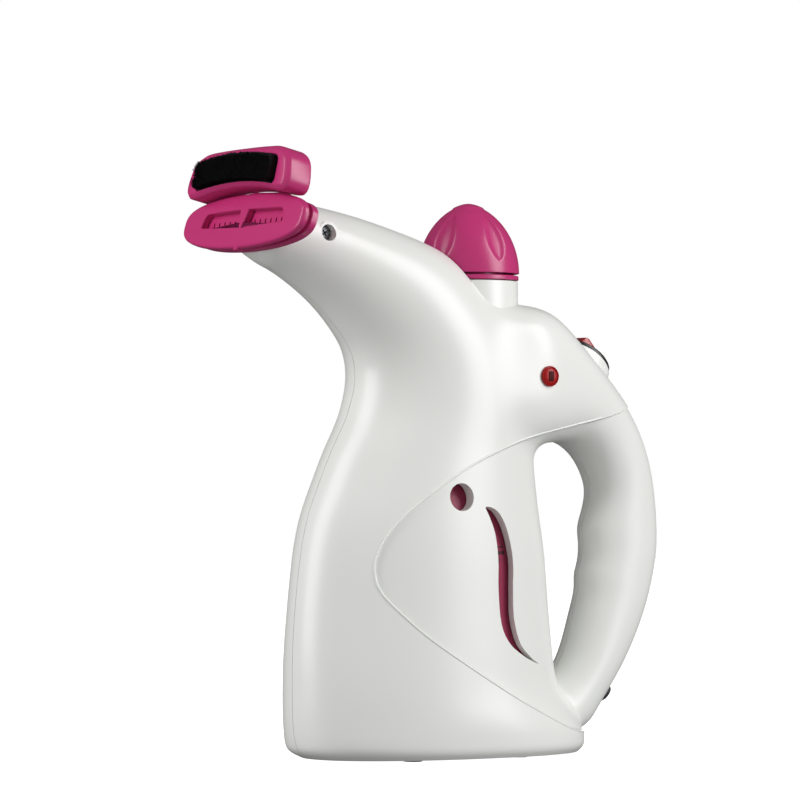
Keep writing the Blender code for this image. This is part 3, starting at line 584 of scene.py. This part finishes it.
def left_of(ring):
    """The left half of an oval ring, closed along the middle plane."""
    count = len(ring)
    return [Vector((p[0], min(p[1], -GAP / 2), p[2])) for p in ring[count // 2 :] + ring[:1]]


pod = skinned("pod", [left_of(r) for r in on_slope([
    arched_oval(17.2, 12.2, -16), arched_oval(16.2, 11.5, -1.6), arched_oval(15.9, 11.3, -0.9),
    arched_oval(15.4, 10.9, -0.6)])])
cut(casing, pod, how="UNION")
pod_room = skinned("pod_room", on_slope([arched_oval(12.4, 8.6, -26, sag=0), arched_oval(12.4, 8.6, 6, sag=0)]))
print("casing with its pod:", len(casing.data.polygons))

# %% Hollow the halves out and cut them
casing_skin = skin_tree(casing)
casing_room = room_half("casing_room", WALL, WALL - RECESS, COVER_RIBS)
cut(casing, flank_prism("seam_hole", grown(seam, GAP / 2), -70, 10), pod_room, casing_room)
cut(casing,
    rod("filler_low", (CAP_X, 0, 196), (CAP_X, 0, 300), NECK_RADIUS + 0.5, 128),
    rod("filler_high", (CAP_X, 0, 227), (CAP_X, 0, 300), CAP_RADIUS + 0.9, 128))
screw_post = rod("screw_post", NECK_SCREW + Vector((0, -21, 0)), NECK_SCREW + Vector((0, -GAP / 2, 0)), 5.2)
cut(casing, screw_post, how="UNION")


def seam_bead(points):
    """A fine rounded bead that runs along the casing's edge of the seam."""
    rings = []
    for i, point in enumerate(points):
        spot, normal, _, _ = casing_skin.ray_cast(place((point.x, -80, point.y)), Vector((0, 1, 0)))
        if spot is None:
            continue
        before, after = points[max(i - 1, 0)], points[min(i + 1, len(points) - 1)]
        along = Vector((after.x - before.x, 0, after.y - before.y))
        along = (along - normal * along.dot(normal)).normalized()
        out = along.cross(normal)
        spot = spot / MM - Vector((BASE_X, 0, 0)) - normal * 0.15
        rings.append([spot + out * (BEAD * math.cos(math.tau * k / 10)) + normal * (BEAD * math.sin(math.tau * k / 10))
                      for k in range(10)])
    return skinned("seam_bead", rings)


BEAD = 0.55  # the bead's radius, mm
inner_run = [p for p in grown(seam, GAP / 2 + BEAD) if p.x < 84]
bead = seam_bead(inner_run)
print("casing, left half:", len(casing.data.polygons))

# %% [markdown]
# ## Where the tank stands
# The tank follows the inside of the cup, so its shape is settled before the handle's half is
# cut: the walls of the windows are trimmed back to it.

# %% The tank's form
TANK_INSETS = [(21, 11.0), (34, 6.5), (48, 5.2), (60, 5.2), (71, 5.2), (83, 5.2), (94, 5.3), (105, 5.6), (117, 6.5),
               (127, 8.0), (136, 10.0)]  # each height, and how far inside the cup's face the tank stands there, mm


def cup_row(height):
    """A level rib of the cup at a height, as numbers."""
    for (f0, b0, w0, p0), (f1, b1, w1, p1) in zip(SWAN, SWAN[1:]):
        if f0[1] <= height <= f1[1]:
            t = (height - f0[1]) / (f1[1] - f0[1])
            return [f0[0] + (f1[0] - f0[0]) * t, b0[0] + (b1[0] - b0[0]) * t, w0 + (w1 - w0) * t, p0 + (p1 - p0) * t]
    raise ValueError("outside the cup")


def full_rib(height, inset, sides=96):
    """A whole level oval of the cup, pulled in by inset."""
    front, back, width, power = cup_row(height)
    ring = []
    for i in range(sides):
        c, s = math.cos(math.tau * i / sides), math.sin(math.tau * i / sides)
        ring.append(((front + back) / 2 + math.copysign(abs(c) ** (2 / power), c) * ((back - front) / 2 - inset),
                     math.copysign(abs(s) ** (2 / power), s) * (width - inset), height))
    return ring


def oval(centre, half_x, half_y, z, sides=96):
    turns = [math.tau * i / sides for i in range(sides)]
    return [(centre + half_x * math.cos(t), half_y * math.sin(t), z) for t in turns]


def tank_wall(inset):
    rings = [full_rib(z, stand + inset) for z, stand in TANK_INSETS]
    return rings + [oval(0, 43.5 - inset, 26.5 - inset, 144), oval(1.5, 41 - inset, 25.6 - inset, 151),
                    oval(6.5, 36 - inset, 25.4 - inset, 157), oval(8.5, 34 - inset, 25.5 - inset, 160 - inset / 2)]


# %% The handle's half
room = room_half("panel_room", RECESS + WALL, WALL, ALL_RIBS)
cut(room, flank_prism("window_wall", grown(window, 1.8), -60, -WELL_FLOOR),
    flank_prism("sight_wall", grown(sight, 1.8), -60, -WELL_FLOOR))
cut(panel, room)
cut(panel, flank_prism("seam_block", grown(seam, -GAP / 2), -70, 10), how="INTERSECT")
GLAND = Vector((99.0, 0, 27.5))
GLAND_LEAN = math.radians(127)
gland_way = Vector((math.sin(GLAND_LEAN), 0, math.cos(GLAND_LEAN)))
cut(panel, flank_prism("window_cut", window, -60, 10), flank_prism("sight_cut", sight, -60, 10),
    rod("gland_hole", GLAND - gland_way * 20, GLAND + gland_way * 20, 5.3), skinned("tank_space", tank_wall(-0.4)))
print("handle, left half:", len(panel.data.polygons))


def mirrored(piece, name):
    """The right half: a copy turned through the middle plane, with its faces outwards again."""
    only(piece)
    bpy.ops.object.duplicate()
    twin = bpy.context.object
    twin.name = twin.data.name = name
    bpy.ops.object.mode_set(mode="EDIT")
    bpy.ops.mesh.select_all(action="SELECT")
    bpy.ops.transform.resize(value=(1, -1, 1), center_override=(0, 0, 0))
    bpy.ops.mesh.flip_normals()
    bpy.ops.object.mode_set(mode="OBJECT")
    return twin


only(casing, bead)
bpy.ops.object.join()
casing_twin = mirrored(casing, "casing_right_shell")
panel_twin = mirrored(panel, "handle_right_shell")
cut(casing, rod("lamp_hole", LAMP + Vector((0, -60, 0)), LAMP + Vector((0, -20, 0)), 4.4),
    rod("screw_seat", NECK_SCREW + Vector((0, -40, 0)), NECK_SCREW + Vector((0, -14.5, 0)), 3.9),
    rod("screw_hole", NECK_SCREW + Vector((0, -40, 0)), NECK_SCREW + Vector((0, 9, 0)), 1.7))
shown(casing, WHITE_ABS, "casing", "casing_left")
shown(casing_twin, WHITE_ABS, "casing", "casing_right")
shown(panel, PANEL_ABS, "casing", "handle_left")
shown(panel_twin, PANEL_ABS, "casing", "handle_right")

# %% [markdown]
# ## The tank behind the windows
# A tinted, see-through tank stands inside the cup, close behind its wall. It shows dark red
# through the windows, so its upper level mark lies there: one line with short bars below it,
# moulded as a thin raised print. The windows' own walls end where the tank begins.

# %% The tank
tank = skinned("tank_wall", tank_wall(0) + [oval(CAP_X, 25.4, 25.4, 165), oval(CAP_X, 25.4, 25.4, 172),
                                            oval(CAP_X, NECK_BORE, NECK_BORE, 172),
                                            oval(CAP_X, NECK_BORE, NECK_BORE, 164)] + tank_wall(2)[::-1], closed=True)
tank_tree = BVHTree.FromPolygons([v.co.copy() for v in tank.data.vertices],
                                 [tuple(f.vertices) for f in tank.data.polygons])
shown(tank, TANK, "casing", "tank")


def mark(name, x0, x1, z, half_height, side):
    """One printed bar on the tank's flank, laid along its surface."""
    points = []
    for i in range(9):
        x = x0 + (x1 - x0) * i / 8
        hit, _, _, _ = tank_tree.ray_cast(place((x, 80 * side, z)), Vector((0, -side, 0)))
        points.append((x, hit.y / MM))
    rings = []
    for x, y in points:
        rings.append([(x, y + 0.05 * -side, z - half_height), (x, y + 0.14 * side, z - half_height),
                      (x, y + 0.14 * side, z + half_height), (x, y + 0.05 * -side, z + half_height)])
    return skinned(name, rings)


for side, flank in ((LEFT, "left"), (RIGHT, "right")):
    bars = [mark(f"level_{flank}_{i}", x0, x1, z, half, side)
            for i, (x0, x1, z, half) in enumerate([(11.0, 17.5, 100.6, 0.3), (11.4, 13.2, 97.9, 0.8),
                                                   (13.8, 15.6, 97.9, 0.8), (16.2, 18.0, 97.9, 0.8),
                                                   (11.6, 14.6, 94.4, 0.8)])]
    only(*bars)
    bpy.ops.object.join()
    bars[0].name = f"level_mark_{flank}"
    shown(bars[0], MARK, "casing", slot="black_plastic")

# %% [markdown]
# ## The filler's neck
# A white tube stands up out of the cover. Inside it is a coarse thread with two starts, which
# the cap's plug runs in: one turn lifts the cap by ten millimetres. A thread is a small
# section that climbs as it turns, so it is a strip of rings along a helix.

# %% Neck and thread
LEAD = 10.0  # the cap's lift in a turn, mm
STARTS = 2


def thread(name, radius, depth, low, high, start):
    """One ridge of a thread from low to high, standing depth out of a radius (inwards if depth is below 0)."""
    turns = (high - low) / LEAD
    count = int(turns * 64)
    rings = []
    for i in range(count + 1):
        t = i / count
        angle = math.tau * (turns * t + start)
        fade = min(1, t * 10, (1 - t) * 10) ** 0.5
        z = low + (high - low) * t
        deep = max(depth * fade, 0.02) if depth > 0 else min(depth * fade, -0.02)
        section = [(-0.15 * math.copysign(1, depth), -1.0), (deep, -0.45), (deep, 0.45),
                   (-0.15 * math.copysign(1, depth), 1.0)]
        rings.append([(CAP_X + (radius + r) * math.cos(angle), (radius + r) * math.sin(angle), z + h)
                      for r, h in section])
    return skinned(name, rings)


flange = NECK_RADIUS + 2.0
neck_profile = [(NECK_RADIUS, 177.2), (flange, 177.2), (flange, 174.2), (NECK_BORE, 174.2),
                (NECK_BORE, NECK_TOP - 2.2), (NECK_BORE + 1.3, NECK_TOP - 2.2), (NECK_BORE + 1.3, NECK_TOP - 0.2),
                (NECK_BORE + 1.5, NECK_TOP), (NECK_RADIUS - 0.7, NECK_TOP), (NECK_RADIUS - 0.2, NECK_TOP - 0.2),
                (NECK_RADIUS, NECK_TOP - 0.8), (NECK_RADIUS, 200)]
neck = skinned("filler_tube", turned_rings(neck_profile, (CAP_X, 0), 128), closed=True)
ridges = [thread(f"neck_thread_{i}", NECK_BORE, -0.7, 196, 222, i / STARTS) for i in range(STARTS)]
only(neck, *ridges)
bpy.ops.object.join()
shown(neck, WHITE_ABS, "casing", "filler_neck")

# %% [markdown]
# ## The cap
# The cap is a bullet-shaped dome with five leaf-shaped hollows for the fingertips. It stands
# one millimetre above the plug's flange, since it is pushed down to grip the plug. The dome
# is a turned shape whose rings are dented where a leaf crosses them.

# %% The dome
SKIRT = NECK_TOP + 3.6
LEAVES, LEAF_TURN = 5, math.radians(-84.9)
LEAF_LOW, LEAF_HIGH, LEAF_HALF, LEAF_DEPTH = 237.6, 261.2, 4.5, 2.1  # mm
CROWN_RADIUS, CROWN_RISE = 7.2, 0.5


def dome_radius(height):
    return CAP_RADIUS * (1 - height * height) ** 0.58


def leaf_dent(angle, radius, z):
    """How deep the nearest leaf is at a point of the dome."""
    t = (z - LEAF_LOW) / (LEAF_HIGH - LEAF_LOW)
    if not 0 < t < 1:
        return 0.0
    half = LEAF_HALF * math.sin(math.pi * t ** 0.85) ** 0.8 * (1.1 - 0.3 * t)
    off = (angle - LEAF_TURN + math.pi / LEAVES) % (math.tau / LEAVES) - math.pi / LEAVES
    across = abs(off * radius) / max(half, 1e-6)
    hollow = LEAF_DEPTH * math.sin(math.pi * t) ** 0.6
    if across >= 1:
        return 0.3 * hollow * max(0, 1 - (across - 1) / 0.45) ** 2
    return hollow * (1 - 0.7 * across ** 2.6)


SIDES = 300
turns = [math.tau * i / SIDES for i in range(SIDES)]
outer = []
for k in range(81):
    height = math.sin(math.pi / 2 * k / 80 * 0.997)
    radius, z = dome_radius(height), SKIRT + (CAP_TOP - CROWN_RISE - SKIRT) * height
    if radius < CROWN_RADIUS + 0.6:
        z += CROWN_RISE * min(1, (CROWN_RADIUS + 0.6 - radius) / 0.6)
    outer.append([(CAP_X + (radius - leaf_dent(t, radius, z)) * math.cos(t),
                   (radius - leaf_dent(t, radius, z)) * math.sin(t), z) for t in turns])
lip = [(CAP_RADIUS - 2.2, SKIRT + 0.3), (CAP_RADIUS - 1.9, SKIRT), (CAP_RADIUS - 0.35, SKIRT),
       (CAP_RADIUS - 0.05, SKIRT + 0.12)]
inner = []
for k in range(24, 0, -1):
    height = math.sin(math.pi / 2 * k / 24 * 0.99)
    inner.append((max(dome_radius(height) - 4.4 * min(1, k / 6) - 0.0, 0.6) if k > 1 else CAP_RADIUS - 2.4,
                  SKIRT + (CAP_TOP - SKIRT - 3.6) * height))
dome = skinned("cap_dome_shell", turned_rings(inner + lip, (CAP_X, 0), SIDES) + outer[1:])
shown(dome, PINK_ABS, "cap_dome", "cap_dome")

# %% The plug under it
PLUG_RADIUS = 19.9
foot = NECK_TOP + 0.4
plug_profile = [(15.2, 243), (16.9, 243), (17.2, 242.7), (17.2, foot + 2.2), (CAP_RADIUS - 0.7, foot + 2.2),
                (CAP_RADIUS - 0.3, foot + 1.9), (CAP_RADIUS - 0.3, foot + 0.3), (CAP_RADIUS - 0.6, foot),
                (PLUG_RADIUS, foot), (PLUG_RADIUS, 206.6), (PLUG_RADIUS - 0.6, 206), (2.9, 206), (2.9, 208.6),
                (15.2, 208.6)]
plug = skinned("cap_plug_body", turned_rings(plug_profile, (CAP_X, 0), 128), closed=True)
ridges = [thread(f"plug_thread_{i}", PLUG_RADIUS, 0.65, 208, 224, i / STARTS + 0.25 + 0.2) for i in range(STARTS)]
only(plug, *ridges)
bpy.ops.object.join()
shown(plug, PINK_ABS, "cap_plug", "cap_plug")
gasket_profile = [(PLUG_RADIUS + 0.3, NECK_TOP + 0.1), (NECK_BORE + 1.0, NECK_TOP + 0.1),
                  (NECK_BORE + 1.0, NECK_TOP - 1.9), (PLUG_RADIUS + 0.3, NECK_TOP - 1.9)]
gasket = skinned("cap_gasket_ring", turned_rings(gasket_profile, (CAP_X, 0), 128), closed=True)
shown(gasket, RUBBER, "cap_seal", "cap_gasket")

# %% [markdown]
# ## The steam head
# The nozzle's face is a lens-shaped plate with two slots. Steam comes up through short slits
# in a second sheet behind it. The plate, and the stepped housing that plugs into the neck,
# are outlines seen from the front that travel along the nozzle's own axis.

# %% The nozzle
HEAD = Vector((-108.5, 0, 253.8))
HEAD_LEAN = math.radians(17)
NOZZLE = (53.8, 13.4)  # half width and half height, mm


def lens(inset, sides=144):
    """The nozzle's outline from the front, as (y, z)."""
    width, height = NOZZLE[0] - inset, NOZZLE[1] - inset
    turns = [math.tau * i / sides for i in range(sides)]
    return [Vector((width * math.cos(t), math.copysign(abs(math.sin(t)) ** (2 / 3), math.sin(t)) * height))
            for t in turns]


def standing(x, outline):
    """An outline of (y, z) points stood at depth x."""
    return [(x, p[0], p[1]) for p in outline]


def head_oval(x, half_y, half_z, z=0.0, sides=144):
    return [(x, half_y * math.cos(math.tau * i / sides), z + half_z * math.sin(math.tau * i / sides))
            for i in range(sides)]


def on_head(name, rings):
    return skinned(name, framed(rings, HEAD, HEAD_LEAN))


SLOT = [(3.6, 5.0), (4.6, 5.3), (18.0, 5.1), (31.0, 4.7), (34.4, 4.0), (36.0, 1.4), (36.6, -1.2), (36.0, -2.0),
        (28.0, -2.4), (20.0, -2.6), (10.0, -2.9), (2.4, -3.1), (1.6, -2.6)]
plate = on_head("nozzle_face", [standing(x, lens(inset)) for x, inset in
                                [(0, 1.7), (0.12, 1.1), (0.4, 0.55), (0.9, 0.15), (1.6, 0), (3.0, 0), (3.4, 0.35)]])
nub = on_head("nub", [standing(x, [(-half, -11.5), (-half, -14.1), (-half + 0.4, -14.4), (half - 0.4, -14.4),
                                   (half, -14.1), (half, -11.5)]) for x, half in [(0.4, 1.3), (0.8, 1.6), (3.0, 1.6)]])
cut(plate, nub, how="UNION")
for side in (LEFT, RIGHT):
    hole = smooth([(y * side, z) for y, z in SLOT], 4, closed=True)
    flare = [standing(x, grown(hole, wide)) for x, wide in [(-3, 0.5), (0.0, 0.35), (0.35, 0), (6, 0)]]
    cut(plate, on_head("slot", flare))
shown(plate, PINK_ABS, "casing", "nozzle_plate")

sheet = on_head("steam_sheet", [standing(x, lens(6.6)) for x in (3.7, 5.0)])
for side in (LEFT, RIGHT):
    for i in range(6):
        y = side * (6.5 + 4.8 * i)
        slit = [standing(x, [(y - 0.55, -3.2), (y + 0.55, -3.2), (y + 1.15, 1.0), (y + 0.6, 1.5), (y + 0.05, 1.0)])
                for x in (3, 6)]
        cut(sheet, on_head("slit", slit))
shown(sheet, PINK_ABS, "casing", "nozzle_diffuser")

rear = on_head("nozzle_shell", [standing(3.7, lens(2.4)), standing(5.6, lens(2.4)), standing(5.65, lens(1.1)),
                                standing(6.0, lens(0.7)), standing(8.9, lens(0.7)), standing(9.2, lens(1.1)),
                                head_oval(9.3, 20.6, 9.6), head_oval(12.1, 17.4, 11.0, -0.4),
                                head_oval(12.4, 17.0, 10.8, -0.4)])
cut(rear, on_head("spigot", [head_oval(11, 15.0, 11.4, -0.4), head_oval(17.6, 14.8, 11.2, -0.4),
                             head_oval(18, 14.4, 10.8, -0.4)]),
    on_head("nipple", [head_oval(12, 2.7, 2.7, 0, 32), head_oval(22.0, 2.7, 2.7, 0, 32), head_oval(22.6, 2.3, 2.3, 0, 32)]),
    how="UNION")
cut(rear, on_head("chamber", [standing(x, lens(6.2)) for x in (2, 7.6)]),
    on_head("bore", [head_oval(x, 1.8, 1.8, 0, 24) for x in (5, 30)]))
shown(rear, PINK_ABS, "casing", "nozzle_housing")

# %% The neck's crosshead screw
SCREW_FACE = NECK_SCREW + Vector((0, -17.6, 0))
screw_rings = turned_rings([(2.7, 0.12), (3.15, -0.1), (3.3, -0.5), (3.3, -2.6), (1.5, -2.6), (1.5, -22.6),
                            (0.4, -24)], steps=48)
screw = skinned("neck_crosshead", facing_left(screw_rings, SCREW_FACE))
for turn in (0.5, 0.5 + math.pi / 2):
    spin = Matrix.Rotation(turn, 3, "Z")
    arm = [[spin @ Vector((x, y, z)) for x, y in [(-long, -0.42), (long, -0.42), (long, 0.42), (-long, 0.42)]]
           for z, long in [(-1.7, 0.7), (1.0, 2.3)]]
    cut(screw, skinned("cross", facing_left(arm, SCREW_FACE)))
shown(screw, DULL_STEEL, "casing", "neck_screw")

# %% [markdown]
# ## The brush
# The brush is a pink block that clips over the nozzle's upper edge. Its bristles are thin
# nylon hairs in a dense bed. A hair is a three-sided tapering stick of a few faces, modelled
# once; every other hair is that mesh copied, leaned over a little and set in the bed.

# %% The brush block
BRUSH = Vector((-103.9, 0, 276.2))
BRUSH_LEAN = math.radians(13)
BRUSH_DEPTH = 7.2
BLOCK = [(0, 10.4), (20, 10.2), (34, 9.2), (41.6, 5.0), (44.4, -1.0), (45.3, -7.0), (43.4, -11.2), (38, -11.8),
         (20, -9.2), (0, -8.2)]


def band(half, low, high, bow, sides=36):
    """A curved band from the front: an arch with rounded corners whose lower edge is hollow."""
    def edge(y, z, corner):
        into = min(max((abs(y) - half + abs(corner)) / abs(corner), 0), 1)
        return Vector((y, z - bow * (y / half) ** 2 + corner * (1 - math.sqrt(1 - into * into))))
    across = [half * math.sin(math.pi / 2 * (1 - 2 * i / sides)) for i in range(sides + 1)]
    return [edge(y, high, -3.4) for y in across] + [edge(y, low, 2.6) for y in reversed(across)]


def on_brush(name, rings):
    return skinned(name, framed(rings, BRUSH, BRUSH_LEAN))


corners = [(-y, z) for y, z in BLOCK] + [(y, z) for y, z in BLOCK[-2:0:-1]]
outline = smooth(corners, 6, closed=True)
brush = on_brush("brush_block", [standing(x, grown(outline, -inset)) for x, inset in
                                 [(-7.2, 2.4), (-7.0, 1.9), (-5.4, 0.35), (-4.9, 0.05), (-4.0, 0), (5.4, 0),
                                  (6.4, 0.3), (7.0, 1.0), (7.2, 1.6)]])
cut(brush, on_brush("seat", [standing(x, band(36.0, -6.4, 7.6, 3.0)) for x in (-10.2, -4.0)]))
arc = [p for p in lens(2.2) if p.y > 0 and abs(p.x) < 31]
lip_outline = [p + Vector((0, 0.3)) for p in arc] + [Vector((-30, 13.4)), Vector((0, 15.0)), Vector((30, 13.4))]
lip = on_head("lip", [standing(x, lip_outline) for x in (3.9, 5.3)])
only(brush, lip)
bpy.ops.object.join()
shown(brush, PINK_ABS, "brush", "brush_body")
bed = on_brush("bristle_bed", [standing(x, band(35.6, -6.0, 7.2, 3.0)) for x in (-6.3, -4.3)])
shown(bed, BLACK, "brush", "brush_base")

# %% The bristles
HAIRS, HAIR_RADIUS = 6500, 0.17
chance = random.Random(7)
bed_half, bed_low, bed_high, bed_bow = 35.0, -5.7, 6.9, 3.0
hair = skinned("bristles", framed([[(x, r * math.cos(math.tau * i / 3), r * math.sin(math.tau * i / 3))
                                    for i in range(3)] for x, r in [(0, HAIR_RADIUS), (-4.6, HAIR_RADIUS * 0.75)]],
                                  BRUSH, BRUSH_LEAN))
root = np.array(place(BRUSH))
turn = np.array(Matrix.Rotation(BRUSH_LEAN, 3, "Y"))
stick = (np.array([v.co for v in hair.data.vertices]) - root) @ turn  # back in the brush's own frame
faces = [tuple(f.vertices) for f in hair.data.polygons]
points, all_faces = [], []
while len(all_faces) < HAIRS * len(faces):
    y, z = chance.uniform(-bed_half, bed_half), chance.uniform(bed_low, bed_high)
    edge = min(bed_half - abs(y), z - bed_low, bed_high - z)
    if edge < 2.5 and (bed_half - abs(y)) + min(z - bed_low, bed_high - z) < 2.2:
        continue
    lean = Matrix.Rotation(math.radians(chance.gauss(0, 3.2)), 3, "Y") @ Matrix.Rotation(
        math.radians(chance.gauss(0, 3.2) + 9.0 * max(y / bed_half, 0) ** 5), 3, "Z")
    long = chance.uniform(0.9, 1.03)
    if y > bed_half - 5 and chance.random() < 0.5:
        long *= chance.uniform(1.0, 1.25)
    grown_stick = (stick * np.array([long, 1, 1])) @ np.array(lean).T
    first = len(points)
    offset = np.array([-6.2, y, z - bed_bow * (y / bed_half) ** 2]) * MM
    points.extend(root + turn @ (p + offset) for p in grown_stick)
    all_faces.extend(tuple(first + v for v in face) for face in faces)
hair.data.clear_geometry()
hair.data.from_pydata(points, [], all_faces)
hair.data.update()
shown(hair, FILAMENT, "brush", "brush_bristles")

# %% [markdown]
# ## The switch and the lamp
# A black bezel follows the pod's arched rim. In it rocks a red see-through rocker, pressed
# down at its rear end. Below the cap, on the left flank, a red lamp shows that the heater is on.

# %% The switch
bezel = skinned("switch_bezel", on_slope([arched_oval(14.6, 10.4, -0.9), arched_oval(15.1, 10.9, -0.75),
                                          arched_oval(15.15, 10.95, 0.2), arched_oval(14.9, 10.7, 0.9),
                                          arched_oval(14.3, 10.1, 1.3), arched_oval(13.6, 9.4, 1.35)]))


def switch_block(name, x, y, low, high, round_by=1.2, shift=0.0):
    """An upright block of the switch's frame with rounded corners."""
    ring = []
    for cx, cy, start in ((x - round_by, y - round_by, 0), (round_by - x, y - round_by, 1),
                          (round_by - x, round_by - y, 2), (x - round_by, round_by - y, 3)):
        for k in range(5):
            a = math.pi / 2 * (start + k / 4)
            ring.append((shift + cx + round_by * math.cos(a), cy + round_by * math.sin(a)))
    return skinned(name, on_slope([[(px, py, z) for px, py in ring] for z in (low, high)]))


cut(bezel, switch_block("switch_tub", 11.1, 7.7, -16, -1.2), how="UNION")
cut(bezel, switch_block("switch_well", 9.6, 6.3, -9, 4),
    *[switch_block(f"slit_{x}", 0.6, 2.8, -20, -6, 0.2, x) for x in (-6, 0, 6)])
shown(bezel, BLACK, "casing", "switch_housing")

ROCKER = SWITCH + Matrix.Rotation(SWITCH_SLOPE, 3, "Y") @ Vector((0, 0, -1.5))
ROCKER_LEAN = SWITCH_SLOPE + math.radians(12)
ROCKER_REACH = 9.2
side = [(ROCKER_REACH * math.cos(math.radians(a)), ROCKER_REACH * math.sin(math.radians(a)))
        for a in (-24, -18, -12, -6, 0, 6, 12, 16)]
top = [(8.9, 3.2), (8.5, 4.1), (7.6, 4.7), (6.4, 4.9), (4.4, 4.75), (2.2, 4.55), (0, 4.5)]
half_section = side + top
section = half_section + [(-x, z) for x, z in reversed(half_section[:-1])]
rocker = skinned("rocker_cap", framed([[(x * (1 - 0.02 * inset), y, z - 0.25 * inset) for x, z in section]
                                       for y, inset in ((-5.9, 1.6), (-5.75, 0.5), (-5.4, 0), (5.4, 0), (5.75, 0.5),
                                                        (5.9, 1.6))], ROCKER, ROCKER_LEAN))
shown(rocker, RED_LENS, "switch_rocker", "switch_rocker", angle=40)

# %% The lamp
LAMP_SPOT = LAMP + Vector((0, -34.9, 0))
rim_profile = [(4.2, 0.75), (4.35, 0.95), (4.7, 0.8), (4.97, 0.35), (5.0, 0.0), (4.95, -0.2), (4.1, -0.2),
               (4.1, -9.5), (2.9, -9.5), (2.9, -3.0), (4.0, -2.8)]
rim = skinned("lamp_rim", facing_left(turned_rings(rim_profile, steps=64), LAMP_SPOT), closed=True)
shown(rim, LAMP_RIM, "casing", "indicator_lens")
jewel = skinned("lamp_jewel", facing_left(turned_rings([(3.9, -2.4), (4.1, 0.5), (3.6, 0.95), (2.6, 1.2), (1.4, 1.3)],
                                                       steps=64), LAMP_SPOT))
shown(jewel, LAMP_RIM, "casing", slot="red_lens")
pane = skinned("lamp_pane", facing_left([[(x * wide, z_ * wide, h) for x, z_ in
                                          [(-1.5, -2.0), (-1.1, -2.4), (1.1, -2.4), (1.5, -2.0), (1.5, 2.0),
                                           (1.1, 2.4), (-1.1, 2.4), (-1.5, 2.0)]]
                                         for h, wide in ((0.6, 1), (1.34, 1), (1.42, 0.9))], LAMP_SPOT))
shown(pane, LAMP_DARK, "casing", slot="red_lens")

# %% [markdown]
# ## The room around it
# The steamer stands on a white floor in a white room. Two tall soft lights stand to its left
# and right, a little in front, which leaves the darker band down its middle. The room's own
# light is dim and falls off behind it, so the edges of the body read against the white. The
# floor glows faintly white and is left out of the bounced light, since a shadowless floor
# would otherwise light the steamer from below.

# %% Stage and lights
VIEW_TURN = math.radians(33)  # the camera stands this far round from the steamer's left side
TO_CAMERA = Vector((-math.sin(VIEW_TURN), -math.cos(VIEW_TURN), 0))
TO_RIGHT = Vector((math.cos(VIEW_TURN), -math.sin(VIEW_TURN), 0))
floor = skinned("floor", [[(-4000, -4000, z), (4000, -4000, z), (4000, 4000, z), (-4000, 4000, z)] for z in (-20, 0)])
floor.data.materials.append(finish_of("glowing_white_floor", "#fbfbfb", 0.85, Emission_Color=(1, 1, 1, 1),
                                      Emission_Strength=1.0))
floor.visible_diffuse = floor.visible_glossy = False

scene = bpy.context.scene
scene.view_settings.view_transform = "Standard"
world = bpy.data.worlds.new("white_room")
scene.world = world
world.use_nodes = True
room = world.node_tree
ROOM_LIGHT, ROOM_FRONT, ROOM_TOP = 0.23, 0.19, 0.02  # even light, more from the front, more from above
way = add(room, "ShaderNodeTexCoord")
lobe = add(room, "ShaderNodeVectorMath", [(0, way.outputs["Generated"])], operation="DOT_PRODUCT")
lobe.inputs[1].default_value = TO_CAMERA * ROOM_FRONT + Vector((0, 0, ROOM_TOP))
dim = add(room, "ShaderNodeMath", [(0, lobe.outputs["Value"])], operation="ADD")
dim.inputs[1].default_value = ROOM_LIGHT
rays = add(room, "ShaderNodeLightPath")
seen = add(room, "ShaderNodeMath", [(0, dim.outputs[0]), (1, rays.outputs["Is Camera Ray"])], operation="MAXIMUM")
room.nodes["Background"].inputs["Color"].default_value = linear("#ffffff")
room.links.new(seen.outputs[0], room.nodes["Background"].inputs["Strength"])


def softbox(name, angle, away, height, size, power):
    """A tall area light, angle degrees round to the right of the camera, facing the steamer."""
    lamp = bpy.data.lights.new(name, "AREA")
    lamp.shape, lamp.size, lamp.size_y, lamp.energy = "RECTANGLE", size[0] * MM, size[1] * MM, power
    made = bpy.data.objects.new(name, lamp)
    scene.collection.objects.link(made)
    turn = math.radians(angle)
    spot = (TO_CAMERA * math.cos(turn) + TO_RIGHT * math.sin(turn)) * away + Vector((0, 0, height))
    made.location = place(spot)
    made.rotation_euler = (place((0, 0, 150)) - place(spot)).to_track_quat("-Z", "Y").to_euler()
    made.visible_camera = False


softbox("left_light", -70, 1300, 650, (700, 1300), 13)
softbox("right_light", 70, 1300, 700, (700, 1300), 16)

# %% Camera
eye = bpy.data.cameras.new("camera")
eye.lens, eye.sensor_width = 192, 36
camera = bpy.data.objects.new("camera", eye)
scene.collection.objects.link(camera)
camera.location = place((-1130.8, -1710.0, 133))
look = -TO_CAMERA + Vector((0, 0, math.tan(math.radians(1.06))))
camera.rotation_euler = look.to_track_quat("-Z", "Y").to_euler()
scene.camera = camera
